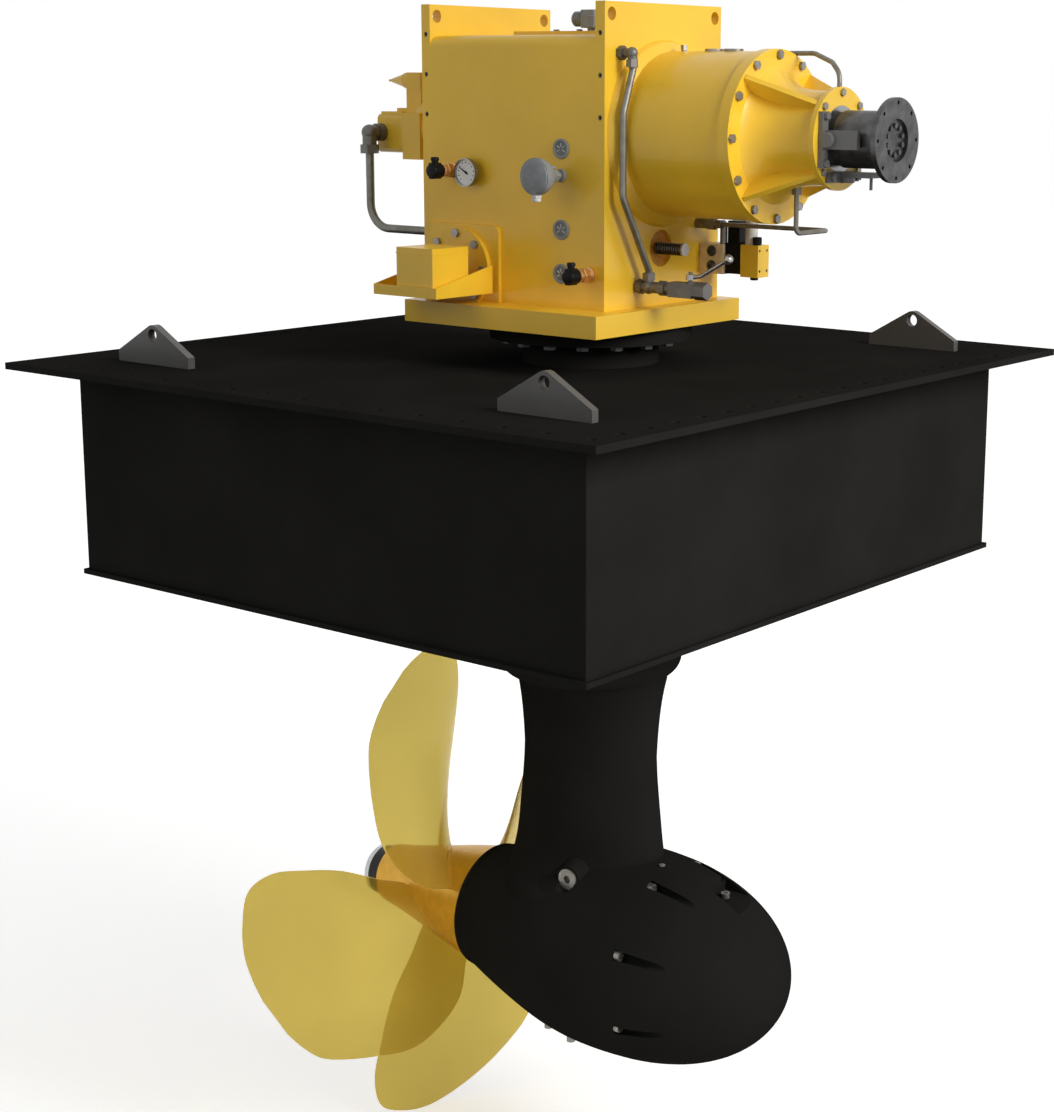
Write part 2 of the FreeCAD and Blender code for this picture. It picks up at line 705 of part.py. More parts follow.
def bevel_gear(teeth, mate, module, face, bore):
    """Straight bevel gear, apex at the origin, axis +Z, tooth 0 towards +X."""
    r, h = teeth * module / 2, mate * module / 2
    cone = math.hypot(r, h)
    inner = (cone - face) / cone
    outward, across = V(h, 0, -r) * (1 / cone), V(0, 1, 0)
    pitch_point = V(r, 0, h)
    half, slope = tooth_share * math.pi * module / 2, math.tan(math.radians(pressure_angle))

    def outline(scale):
        points = []
        for height, side in ((-dedendum - 0.2, -1), (-dedendum - 0.2, 1), (addendum, 1), (addendum, -1)):
            width = half - height * module * slope
            points.append((pitch_point + outward * height * module + across * side * width) * scale)
        return Part.makePolygon(points + [points[0]])

    tooth = Part.makeLoft([outline(1.0), outline(inner)], True, True)
    root = pitch_point - outward * dedendum * module
    front, back = root * (inner - gear_rim), root * (1 + gear_rim)
    rim = [V(bore, 0, front.z), front, back, V(back.x, 0, back.z + gear_backing),
           V(bore, 0, back.z + gear_backing)]
    blank = Part.Face(Part.makePolygon(rim + [rim[0]])).revolve(V(0, 0, 0), Z, 360)
    blank.rotate(V(0, 0, 0), Z, 180.0 / teeth)
    others = []
    for k in range(teeth):
        copy = tooth.copy()
        copy.rotate(V(0, 0, 0), Z, 360.0 * k / teeth)
        others.append(copy)
    return blank.fuse(others)


def gears():
    """Upper and lower bevel pairs, in mesh."""
    low, high = V(0, 0, prop_z), V(0, 0, input_height)
    pinion = bevel_gear(lower_pinion_teeth, lower_wheel_teeth, lower_module, lower_face,
                        drive_shaft_radius + fit_gap)
    pinion.translate(low)
    save("lower_pinion", pinion)
    wheel = bevel_gear(lower_wheel_teeth, lower_pinion_teeth, lower_module, lower_face,
                       prop_shaft_radius + fit_gap)
    wheel.rotate(V(0, 0, 0), Z, 180.0 / lower_wheel_teeth)
    wheel.rotate(V(0, 0, 0), V(1, 0, 1), 180)
    wheel.translate(low)
    save("lower_crown_wheel", wheel)
    pinion = bevel_gear(upper_pinion_teeth, upper_wheel_teeth, upper_module, upper_face,
                        input_shaft_radius + fit_gap)
    pinion.rotate(V(0, 0, 0), Y, 90)
    pinion.translate(high)
    save("upper_pinion", pinion)
    wheel = bevel_gear(upper_wheel_teeth, upper_pinion_teeth, upper_module, upper_face,
                       drive_shaft_radius + fit_gap)
    wheel.rotate(V(0, 0, 0), Z, 180.0 / upper_wheel_teeth)
    wheel.rotate(V(0, 0, 0), X, 180)
    wheel.translate(high)
    save("upper_crown_wheel", wheel)


def shafts():
    """Vertical shaft, input shaft, bearings and seals."""
    wheel_cone = math.hypot(lower_pinion_teeth, lower_wheel_teeth) * lower_module / 2
    bottom = prop_z + lower_wheel_teeth * lower_module / 2 * (wheel_cone - lower_face) / wheel_cone
    top_cone = math.hypot(upper_pinion_teeth, upper_wheel_teeth) * upper_module / 2
    top = input_height - upper_pinion_teeth * upper_module / 2 * (top_cone - upper_face) / top_cone
    save("vertical_shaft", bar(drive_shaft_radius, V(0, 0, bottom - 4), V(0, 0, top + 4)))
    pinion_x = upper_wheel_teeth * upper_module / 2 * (top_cone - upper_face) / top_cone
    shaft = bar(input_shaft_radius, V(pinion_x - 4, 0, input_height), V(coupling_face - coupling_recess_depth - 6,
                                                                      0, input_height))
    save("input_shaft", shaft)
    start = drive_face + 83
    plates = [ring(104.0, input_shaft_radius + fit_gap, V(x, 0, input_height), V(x + 5, 0, input_height))
              for x in [start + 30 + 12 * k for k in range(8)]]
    drum = ring(130.0, 118.0, V(start, 0, input_height), V(start + 140, 0, input_height))
    drum = drum.fuse(ring(130.0, input_shaft_radius + fit_gap, V(start, 0, input_height),
                          V(start + 14, 0, input_height)))
    save("clutch_pack", group([drum] + plates))

    def bearing_v(z, outer):
        return ring(outer, drive_shaft_radius + fit_gap, V(0, 0, z), V(0, 0, z + bearing_depth))

    def bearing_x(shaft_radius, x, depth, z, outer):
        return ring(outer, shaft_radius + fit_gap, V(x, 0, z), V(x + depth, 0, z))

    rings = [bearing_x(prop_shaft_radius, x, bearing_depth, prop_z, prop_seat_radius)
             for x in (aft_bearing_x, middle_bearing_x, front_bearing_x)]
    rings += [bearing_v(prop_z + wheel_radius + 65, shaft_bore_radius),
              bearing_v(floor_z - bearing_depth - 10, shaft_bore_radius),
              bearing_v(unit_z + 2, stem_radius - stem_wall),
              bearing_x(input_shaft_radius, case_x1 + 2, side_thick + 14, input_height, drive_bore_radius),
              bearing_x(input_shaft_radius, nozzle_x - bearing_depth, bearing_depth, input_height,
                        input_bore_radius)]
    save("bearings", group(rings))
    seals = [ring(prop_shaft_radius + 14, prop_shaft_radius + fit_gap, V(pod_aft, 0, prop_z),
                  V(pod_aft + seal_depth, 0, prop_z)),
             ring(collar_radius, input_shaft_radius + fit_gap, V(nozzle_x, 0, input_height),
                  V(hub_start - run_gap, 0, input_height))]
    save("shaft_seals", group(seals))


# Gear unit

def gear_unit():
    """Base plate, gear case and the two thick side plates."""
    base = block(base_x0, base_x1, base_y0, base_y1, unit_z, base_top)
    spots = circle_spots(stem_bolt_count, stem_bolt_circle, 180.0 / stem_bolt_count)
    holes = [bar(stem_bolt_radius + bolt_play, V(x, y, unit_z - 1), V(x, y, unit_z + base_thick / 2 + 1))
             for x, y in spots]
    holes.append(bar(stem_radius - stem_wall, V(0, 0, unit_z - 1), V(0, 0, base_top + 1)))
    save("case_base", base.cut(group(holes)))

    case = block(case_x0, case_x1, front_y, -front_y, base_top, case_top)
    rounded = [e for e in case.Edges if e.BoundBox.ZMin > case_top - 1 and e.BoundBox.XLength > 1]
    case = case.makeFillet(case_round, rounded)
    pad = block(case_x0, pad_right, cover_y, front_y, base_top, base_top + pad_height)
    corner = [e for e in pad.Edges if e.BoundBox.YLength > 1 and e.BoundBox.XMin > pad_right - 1
              and e.BoundBox.ZMin > base_top + pad_height - 1]
    pad = pad.makeFillet(18.0, corner)
    lid = block(lid_x0, lid_x1, -lid_half, lid_half, case_top - 1, case_top + lid_thick)
    case = case.fuse([pad, lid])
    room = block(case_x0 - 1, case_x1 + 1, front_y + case_wall, -front_y - case_wall, base_top - 1,
                 case_top - case_wall)
    case = case.cut(room)
    holes = [bar(13.0, V(x, cover_y - 1, z), V(x, front_y + case_wall + 1, z)) for x, z in elbow_spots]
    holes.append(bar(40.0, V(cover_x, cover_y - 1, cover_z), V(cover_x, front_y + case_wall + 1, cover_z)))
    holes.append(bar(8.0, V(face_column_x, front_y - 1, sensor_height), V(face_column_x, 0, sensor_height)))
    holes.append(bar(6.0, V(dial_x, front_y - 1, dial_z), V(dial_x, 0, dial_z)))
    holes += [bar(sight_radius, V(face_column_x, front_y - 1, z), V(face_column_x, front_y + 8, z))
              for z in sight_heights]
    save("gear_case", case.cut(group(holes)))

    lift = side_top - side_hole_drop
    for name, x0, bore in (("side_plate_drive", case_x1, drive_bore_radius),
                           ("side_plate_pump", pump_face, pump_bore_radius)):
        x1 = x0 + side_thick
        plate = block(x0, x1, front_y, -front_y, base_top, side_top)
        cuts = [bar(side_hole_radius, V(x0 - 1, s * side_hole_y, lift), V(x1 + 1, s * side_hole_y, lift))
                for s in (-1, 1)]
        cuts.append(bar(bore, V(x0 - 1, 0, input_height), V(x1 + 1, 0, input_height)))
        middle = (x0 + x1) / 2
        for drop in edge_screw_drops:
            z = side_top - drop
            cuts += [bar(edge_screw_radius, V(middle, s * side_half_width, z),
                         V(middle, s * (side_half_width - edge_screw_depth), z)) for s in (-1, 1)]
        if name == "side_plate_drive":
            cuts.append(bar(plunger_pin_radius + 6, V(x0 - 1, plunger_y, plunger_z), V(x1 + 1, plunger_y, plunger_z)))
            cuts.append(bar(plunger_ring_radius, V(x1 - plunger_recess, plunger_y, plunger_z),
                            V(x1 + 1, plunger_y, plunger_z)))
        save(name, plate.cut(group(cuts)))


def input_housings():
    """Clutch housing and the ribbed input housing."""
    z = input_height
    outer = turned([(drive_face, clutch_root_radius), (drive_face + clutch_root_length * 0.45, clutch_root_radius - 6),
                    (drive_face + clutch_root_length, clutch_radius), (joint_x, clutch_radius)], z)
    rim = bar(joint_flange_radius, V(joint_x - joint_flange_thick, 0, z), V(joint_x, 0, z))
    inner = bar(clutch_radius - clutch_wall, V(drive_face + 18, 0, z), V(joint_x - joint_flange_thick, 0, z))
    inner = inner.fuse(bar(clutch_radius - 3 * clutch_wall, V(joint_x - 20, 0, z), V(joint_x + 1, 0, z)))
    inner = inner.fuse(bar(drive_bore_radius, V(drive_face - 1, 0, z), V(drive_face + 19, 0, z)))
    holes = joint_holes(joint_x - joint_flange_thick, joint_x + 1)
    clutch = outer.fuse(rim).cut(inner).cut(group(holes))
    save("clutch_housing", clutch)

    x0, x1 = joint_x, joint_x + joint_flange_thick
    flange = bar(joint_flange_radius, V(x0, 0, z), V(x1, 0, z))
    run = nozzle_flange_x - x1
    drop = nozzle_root_radius - nozzle_tip_radius
    bell = [(x1 - 1, nozzle_root_radius)]
    bell += [(x1 + u * run, nozzle_tip_radius + q * drop) for u, q in ((0.15, 0.52), (0.35, 0.22), (0.65, 0.06))]
    bell.append((nozzle_flange_x + 1, nozzle_tip_radius))
    tip = bar(nozzle_flange_radius, V(nozzle_flange_x, 0, z), V(nozzle_x, 0, z))
    half, low = rib_thick / 2, z + input_bore_radius + 10
    rib = prism([V(x1 - 1, -half, low), V(x1 - 1, -half, z + rib_reach), V(x1 + 4, -half, z + rib_reach),
                 V(nozzle_flange_x + 1, -half, z + nozzle_flange_radius - 3),
                 V(nozzle_flange_x + 1, -half, low)], V(0, rib_thick, 0))
    body = flange.fuse([turned(bell, z, curve=True), tip] + around_x(rib, 4, z, 45.0))
    hollow = [(x0 - 1, nozzle_root_radius - nozzle_wall), (x0 + run * 0.3, nozzle_tip_radius - nozzle_wall),
              (nozzle_x - bearing_depth, nozzle_tip_radius - nozzle_wall),
              (nozzle_x - bearing_depth, input_bore_radius), (nozzle_x + 1, input_bore_radius)]
    body = body.cut(turned(hollow, z))
    body = body.cut(group(joint_holes(x0 - 1, x1 + 1)))
    save("input_housing", body)
    return clutch, body


def joint_holes(x0, x1):
    one = bar(joint_bolt_radius + bolt_play, V(x0, 0, input_height + joint_bolt_circle),
              V(x1, 0, input_height + joint_bolt_circle))
    return around_x(one, joint_bolt_count, input_height)


def unit_bolts():
    """Bolts of the housings, the cover and the brake arms."""
    z = input_height
    face = joint_x + joint_flange_thick
    bolts = around_x(screw(joint_bolt_radius, V(face, 0, z + joint_bolt_circle), X,
                           joint_flange_thick * 1.8), joint_bolt_count, z)
    bolts += around_x(screw(joint_bolt_radius * 0.8, V(nozzle_x, 0, z + nozzle_bolt_circle), X, 0), 4, z, 45.0)
    bolts.append(screw(joint_bolt_radius * 0.8, V(nozzle_x, 0, z + nozzle_bolt_circle), X, 0))
    for x, h in cover_bolt_spots():
        bolts.append(screw(joint_bolt_radius, V(x, cover_y - cover_thick, h), -Y, 0))
    save("unit_bolts", group(bolts))


def cover_bolt_spots():
    spots = []
    for k in range(cover_bolt_count):
        a = 2 * math.pi * k / cover_bolt_count
        x, h = cover_x + cover_bolt_circle * math.cos(a), cover_z + cover_bolt_circle * math.sin(a)
        if h > base_top + 10:
            spots.append((x, h))
    return spots


def input_end():
    """Coupling with its drum, and the two brake arms beside it."""
    z = input_height
    hub = bar(hub_radius, V(hub_start, 0, z), V(coupling_face - 1, 0, z))
    disc = bar(coupling_radius, V(coupling_face - coupling_thick, 0, z), V(coupling_face, 0, z))
    body = hub.fuse(disc)
    cuts = [bar(coupling_recess_radius, V(coupling_face - coupling_recess_depth, 0, z), V(coupling_face + 1, 0, z)),
            bar(input_shaft_radius + fit_gap, V(hub_start - 1, 0, z), V(coupling_face - coupling_recess_depth - 6, 0, z))]
    hole = bar(coupling_hole_radius, V(coupling_face - coupling_thick - 1, 0, z + coupling_hole_circle),
               V(coupling_face + 1, 0, z + coupling_hole_circle))
    cuts += around_x(hole, coupling_hole_count, z)
    body = body.cut(group(cuts))
    seat = coupling_face - coupling_recess_depth
    heads = around_x(bar(clamp_bolt_radius, V(seat - 0.5, 0, z + clamp_bolt_circle),
                         V(seat + 6, 0, z + clamp_bolt_circle)), clamp_bolt_count, z)
    save("coupling_flange", body.fuse(heads))

    bar_block = block(nozzle_x, nozzle_x + arm_bar_thick, -arm_offset - arm_bar_width / 2,
                      -arm_offset + arm_bar_width / 2, z - arm_bar_half, z + arm_bar_half)
    reach = block(nozzle_x, nozzle_x + arm_length, -arm_offset, -arm_offset + arm_thick,
                  z - arm_half_width, z + arm_half_width)
    boss = bar(arm_boss_radius, V(nozzle_x + 18, -arm_offset - 12, z), V(nozzle_x + 18, -arm_offset, z))
    arm = bar_block.fuse([reach, boss])
    for s in (-1, 1):
        spot = V(nozzle_x + arm_bar_thick, -arm_offset, z + s * arm_bolt_half)
        arm = arm.fuse(hexagon(16.0, spot, X, 8.0))
    lower = arm.copy()
    lower.rotate(V(0, 0, z), X, 90)
    nipple = bar(3.5, V(nozzle_x + arm_length - 12, 0, z - arm_offset), V(nozzle_x + arm_length - 12, 0,
                                                                         z - arm_offset - 26))
    save("brake_arms", group([arm, lower.fuse(nipple)]))


def front_fittings():
    """Inspection cover, box on its tray, gauges and sensors on the front face."""
    face = cover_y - cover_thick
    cover = bar(cover_radius, V(cover_x, face, cover_z), V(cover_x, cover_y, cover_z))
    cover = cover.cut(block(-2000, 2000, face - 1, cover_y + 1, 0, base_top))
    cover = cover.cut(block(-2000, case_x0, face - 1, cover_y + 1, 0, 2000))
    cover = cover.cut(bar(38.0, V(cover_x, face - 1, cover_z), V(cover_x, cover_y + 1, cover_z)))
    save("inspection_cover", cover)

    t = tray_sheet
    back = face
    tray = block(tray_x0, tray_x1, tray_y0, back, tray_z, tray_z + t)
    lip = block(tray_x0, tray_x1, tray_y0, tray_y0 + t, tray_z, tray_z + tray_lip)
    tray = tray.fuse(lip)
    for x in (tray_x0, tray_x1 - t):
        cheek = prism([V(x, tray_y0, tray_z), V(x, tray_y0, tray_z + tray_lip), V(x, back, tray_z + tray_cheek),
                       V(x, back, tray_z)], V(t, 0, 0))
        tray = tray.fuse(cheek)
    for x, h in cover_bolt_spots():
        tray = tray.cut(bar(2 * joint_bolt_radius, V(x, back - 2 * joint_bolt_radius, h), V(x, back, h)))
    save("box_bracket", tray)

    y0 = tray_y0 + 2 * t
    case = block(box_x0, box_x1, y0, y0 + box_depth, tray_z + t, tray_z + t + box_height)
    case = case.makeFillet(3.0, [e for e in case.Edges if e.BoundBox.ZLength > 1])
    lid = block(box_x0 - 0.8, box_x1 + 0.8, y0 - 0.8, y0 + box_depth + 0.8, tray_z + t + box_height - 14,
                tray_z + t + box_height - 12)
    save("junction_box", case.fuse(lid))

    frames, glasses = [], []
    for z in sight_heights:
        body = ring(sight_radius, sight_glass_radius, V(face_column_x, front_y - 5, z), V(face_column_x, front_y + 8, z))
        frames.append(body)
        glasses.append(bar(sight_glass_radius, V(face_column_x, front_y - 2, z), V(face_column_x, front_y + 8, z)))
    save("sight_glass_bodies", group(frames))
    save("sight_glasses", group(glasses))

    y = front_y - dial_standoff
    case = bar(dial_radius, V(dial_x, y - dial_depth, dial_z), V(dial_x, y, dial_z))
    case = case.cut(bar(dial_radius - 3, V(dial_x, y - dial_depth - 1, dial_z), V(dial_x, y - dial_depth + 6, dial_z)))
    case = case.fuse(bar(9.0, V(dial_x, y, dial_z), V(dial_x, front_y, dial_z)))
    case = case.fuse(bar(5.9, V(dial_x, y, dial_z), V(dial_x, front_y + 60, dial_z)))
    save("thermometer", case.cut(bar(1.5 + fit_gap, V(dial_x, y - dial_depth, dial_z), V(dial_x, y - 4, dial_z))))
    face_y = y - dial_depth + 6
    pin = bar(1.5, V(dial_x, face_y - 3, dial_z), V(dial_x, face_y + 3, dial_z))
    hand = prism([V(dial_x - 2, face_y - 1, dial_z - 7), V(dial_x + 2, face_y - 1, dial_z - 7),
                  V(dial_x + 0.6, face_y - 1, dial_z + 24), V(dial_x - 0.6, face_y - 1, dial_z + 24)], V(0, -1.2, 0))
    needle = pin.fuse(hand)
    needle.rotate(V(dial_x, 0, dial_z), -Y, needle_rest)
    save("gauge_needle", needle)

    x, z = face_column_x, sensor_height
    head = bar(15.0, V(x, front_y - 8, z), V(x, front_y, z)).fuse(bar(9.0, V(x, front_y - 48, z), V(x, front_y, z)))
    head = head.fuse(Part.makeCone(40.0, 14.0, 36.0, V(x, front_y - 82, z), Y))
    head = head.fuse(bar(42.0, V(x, front_y - 104, z), V(x, front_y - 80, z)))
    head = head.fuse(bar(12.0, V(x, front_y - 88, z - 56), V(x, front_y - 88, z)))
    head = head.fuse(bar(7.9, V(x, front_y - 10, z), V(x, front_y + 90, z)))
    low = case_top + lid_thick
    switch = bar(10.0, V(0, 0, low), V(0, 0, low + 14)).fuse(block(-20, 22, -18, 18, low + 10, low + 52))
    switch = switch.fuse([block(-21, 23, -19, 19, low + 15 + 9 * k, low + 19 + 9 * k) for k in range(4)])
    switch = switch.fuse([bar(16.0, V(-50, 0, low + 31), V(-20, 0, low + 31)),
                          bar(18.0, V(-48, 0, low + 31), V(-38, 0, low + 31))])
    save("sensor_head", group([head, switch]))

    brass, plugs = [], []
    for x, z in elbow_spots:
        nut = hexagon(32.0, V(x, front_y - 16, z), -Y, 18.0)
        nut = nut.fuse(bar(12.9, V(x, front_y - 16, z), V(x, front_y + 16, z)))
        brass.append(nut.fuse(bar(14.0, V(x, front_y - 50, z), V(x, front_y - 30, z))))
        plug = bar(17.0, V(x, front_y - 84, z), V(x, front_y - 50, z))
        plugs.append(plug.fuse(bar(10.0, V(x, front_y - 68, z), V(x, front_y - 68, z + 32))))
    save("oil_fittings", group(brass))
    save("elbow_plugs", group(plugs))


# Pump and drive side

def pump_side():
    """Oil pump on its adapter, with elbow and pipe."""
    body = block(pump_x0, pump_x1, -pump_half_depth, pump_half_depth, pump_z0, pump_z1)
    body = body.makeFillet(14.0, [e for e in body.Edges if e.BoundBox.XLength > 1])
    neck = bar(pump_neck_radius, V(pump_x1 - 1, 0, input_height), V(pump_face, 0, input_height))
    plate = block(pump_x1 - 30, pump_x1 + 30, -74, 74, pump_z0 - 15, pump_z1 + 4)
    near, valve_z0 = pump_x1 - 6, pump_z1 + 83
    step = block(pump_x1 - 80, near, -40, 40, pump_z1 - 1, pump_z1 + 15)
    tower = block(pump_x1 - 56, near, -30, 30, pump_z1 - 1, pump_z1 + 64)
    valve = block(pump_x1 - 50, near, -33, 33, pump_z1 + 60, pump_z1 + 103)
    barrel = bar(20.0, V(pump_x1 - 83, 0, valve_z0), V(near, 0, valve_z0))
    nose = Part.makeCone(19.0, 5.0, 50.0, V(pump_x1 - 82, 0, valve_z0), -X)
    pin = bar(3.0, V(pump_x1 - 143, 0, valve_z0), V(pump_x1 - 130, 0, valve_z0))
    lid = block(pump_x0 + 6, pump_x1 - 52, -52, 52, pump_z1 - 1, pump_z1 + 6)
    save("oil_pump", body.fuse([neck, plate, step, tower, valve, barrel, nose, pin, lid]))

    port = V(pump_x0 + pump_port_inset, -pump_half_depth, pump_z1 - 46)
    turn = V(port.x, port.y - pump_pipe_out, port.z)
    elbow = bar(22.0, port, V(port.x, port.y - 21, port.z))
    elbow = elbow.fuse([bar(18.0, V(port.x, port.y - 20, port.z), turn), Part.makeSphere(20.0, turn)])
    elbow = elbow.fuse(bar(18.0, turn, turn - Z * 34))
    elbow = elbow.fuse(hexagon(42.0, turn - Z * 30, -Z, 22.0))
    start = turn - Z * 52
    low_z = input_height - pump_pipe_drop
    low = [start, V(start.x, start.y, low_z), V(pump_face, start.y, low_z)]
    save("oil_pipes", group([pipe(low, pipe_radius, 62.0), pipe(drive_route(), tube_radius, 40.0)]))
    return elbow


tube_top = V(tube_x, front_y + 59, side_top - 144)
tube_low = V(tube_x, valve_y + 2, valve_z + 34)


def drive_route():
    """Tube down the edge of the drive plate, slanting in to the tee at its foot."""
    side = -clutch_radius - tube_radius - 3
    return [tube_top, V(tube_x, side, tube_top.z - 100), V(tube_x, side, tube_top.z - 287), tube_low]


def drive_side(elbow):
    """Elbow, tee and ball valve, brake pipes, valve block, manifold and spring plunger."""
    top = V(tube_x, tube_top.y - 5, tube_top.z + 32)
    upper = hexagon(28.0, V(drive_face, top.y, top.z), X, 14.0)
    upper = upper.fuse([bar(10.0, V(drive_face, top.y, top.z), top), Part.makeSphere(13.0, top)])
    upper = upper.fuse(bar(11.0, top, tube_top).fuse(hexagon(25.0, top - Z * 14, -Z, 17.0)))
    tee = V(tube_x, valve_y, valve_z)
    body = bar(13.0, V(drive_face, valve_y, valve_z), V(tube_x + 70, valve_y, valve_z))
    body = body.fuse([hexagon(30.0, V(drive_face + 6, valve_y, valve_z), X, 14.0), Part.makeSphere(16.0, tee)])
    body = body.fuse([bar(11.0, tee, tube_low), hexagon(27.0, tee + Z * 16, Z, 16.0)])
    stem_z = valve_z + 20.0
    ball = block(valve_x - 52, valve_x + 14, valve_y - 18, valve_y + 18, valve_z - 17, valve_z + 17)
    ball = ball.fuse([hexagon(36.0, V(valve_x + 14, valve_y, valve_z), X, 34.0),
                      hexagon(30.0, V(tube_x + 32, valve_y, valve_z), X, 20.0),
                      bar(9.0, V(valve_x, valve_y, valve_z + 16), V(valve_x, valve_y, stem_z)),
                      bar(5.0, V(valve_x, valve_y, stem_z - 1), V(valve_x, valve_y, stem_z + 22))])
    tube = pipe(drive_route(), tube_radius, 40.0)
    save("pipe_fittings", group([elbow, upper.cut(tube), body.fuse(ball).cut(tube)]))

    eye = V(valve_x, valve_y, stem_z + 4)
    lever = ring(11.0, 5.0 + fit_gap, eye, eye + Z * 12)
    bend_at, knob = eye + V(30, 0, 10), eye + V(104, 0, 52)
    arm = bar(4.5, eye + V(9, 0, 6), bend_at).fuse([Part.makeSphere(4.5, bend_at), bar(4.5, bend_at, knob)])
    arm = arm.cut(bar(8.0, eye - Z, eye + Z * 20))
    save("valve_lever", lever.fuse([arm, Part.makeSphere(11.0, knob)]))

    y0, y1 = block_y0, block_y0 + 60
    grey = block(drive_face, drive_face + 71, y0, y1, block_z0, block_z1)
    for z in (block_z0 + 19, block_z1 - 17):
        grey = grey.fuse(bar(9.0, V(drive_face + 37, y0 - 7, z), V(drive_face + 37, y0, z)))
    save("valve_block", grey)
    x = drive_face + 71
    coil = block(x, x + 50, y0 + 8, y0 + 52, block_z0 + 2, block_z1 + 4)
    coil = coil.fuse(block(x + 4, x + 38, y0 + 12, y0 + 48, block_z1 + 3, return_z + 8))
    save("solenoid_valve", coil)
    x += 50
    man = block(x, x + 50, y0, y0 + 46, block_z0 - 3, block_z1 + 2)
    holes = [bar(3.5, V(x + 40, y0 + 8 + 30 * i, block_z0 + 12 + 48 * j), V(x + 51, y0 + 8 + 30 * i,
                                                                           block_z0 + 12 + 48 * j))
             for i in range(2) for j in range(2)]
    man = man.cut(group(holes))
    save("manifold", man)
    filt = bar(15.0, V(x + 16, y0 + 22, block_z1 + 2), V(x + 16, y0 + 22, block_z1 + 58))
    save("oil_filter", filt)

    seat_x = drive_face - plunger_recess
    guide = ring(plunger_ring_radius - 0.3, plunger_pin_radius + 14, V(seat_x, plunger_y, plunger_z),
                 V(seat_x + 5, plunger_y, plunger_z))
    seat = ring(plunger_pin_radius + 14, plunger_pin_radius + fit_gap, V(seat_x, plunger_y, plunger_z),
                V(seat_x + 3, plunger_y, plunger_z))
    save("plunger_guide", guide.fuse(seat))
    end = drive_face + plunger_reach
    pin = bar(plunger_pin_radius, V(case_x1 - 30, plunger_y, plunger_z), V(end - 6, plunger_y, plunger_z))
    save("plunger", pin.fuse(bar(15.0, V(end - 6, plunger_y, plunger_z), V(end, plunger_y, plunger_z))))
    first, last = seat_x + 3.3, end - 6.3
    pitch = (last - first - spring_wire) / (spring_turns - 1)
    coils = [ring(14.5, 10.0, V(first + pitch * k, plunger_y, plunger_z),
                  V(first + pitch * k + spring_wire, plunger_y, plunger_z)) for k in range(spring_turns)]
    sleeve = ring(12.5, 10.0, V(first, plunger_y, plunger_z), V(last, plunger_y, plunger_z))
    save("plunger_spring", sleeve.fuse(coils))


def brake_pipes(housings):
    """Thin pipes of the brake: over the top, and below with a return to the drive plate."""
    z = input_height
    run = z + over_rise
    over = [V(joint_x - 75, over_y, run), V(joint_x + 60, over_y - 4, run), V(joint_x + 140, 22, run - 20),
            V(nozzle_flange_x + 5, 0, z + nozzle_flange_radius + 28),
            V(nozzle_flange_x + 5, 0, z + nozzle_flange_radius - 1)]
    foot = bar(9.0, over[0] - Z * 24, over[0] + Z * 5).fuse(hexagon(17.0, over[0] - X * 6, X, 26.0))
    port_x, port_z = joint_x + 69, z - nozzle_tip_radius
    drop = [V(port_x, 0, port_z - 20), V(port_x, 0, return_z), V(port_x, return_y, return_z),
            V(drive_face + 50, return_y, return_z)]
    nut = hexagon(22.0, V(port_x, 0, port_z), -Z, 24.0).fuse(bar(9.0, V(port_x, 0, port_z + 1), V(port_x, 0, port_z - 4)))
    end = bar(12.0, V(drive_face, return_y, return_z), V(drive_face + 30, return_y, return_z))
    end = end.fuse([hexagon(24.0, V(drive_face + 30, return_y, return_z), X, 26.0),
                    bar(9.0, V(drive_face + 62, block_y0 + 14, block_z1), V(drive_face + 62, block_y0 + 14, return_z)),
                    bar(9.0, V(drive_face + 62, return_y, return_z), V(drive_face + 62, block_y0 + 14, return_z)),
                    bar(10.0, V(drive_face + 54, return_y, return_z), V(drive_face + 74, return_y, return_z))])
    lower = pipe(drop, thin_pipe_radius, 16.0).fuse([nut, end])
    save("brake_pipes", group([p.cut(group(housings)) for p in (pipe(over, thin_pipe_radius, 32.0).fuse(foot), lower)]))


def caps(housing):
    """Low caps and breather on top of the clutch housing."""
    top = input_height + clutch_radius
    pieces = [bar(22.0, V(x, 0, top - 10), V(x, 0, top + 5)) for x in cap_spots]
    breather = bar(6.0, V(breather_x, 0, top - 10), V(breather_x, 0, top + 8))
    pieces.append(breather.fuse(hexagon(14.0, V(breather_x, 0, top + 2), Z, 12.0)))
    save("housing_caps", group([p.cut(housing) for p in pieces]))


os.makedirs("parts", exist_ok=True)
well()
lugs()
stem()
leg()
nose_cap()
pod_trim()
propeller()
gears()
shafts()
gear_unit()
housings = input_housings()
unit_bolts()
input_end()
front_fittings()
drive_side(pump_side())
brake_pipes(housings)
caps(housings[0])
print(len(files), "sub-parts written")
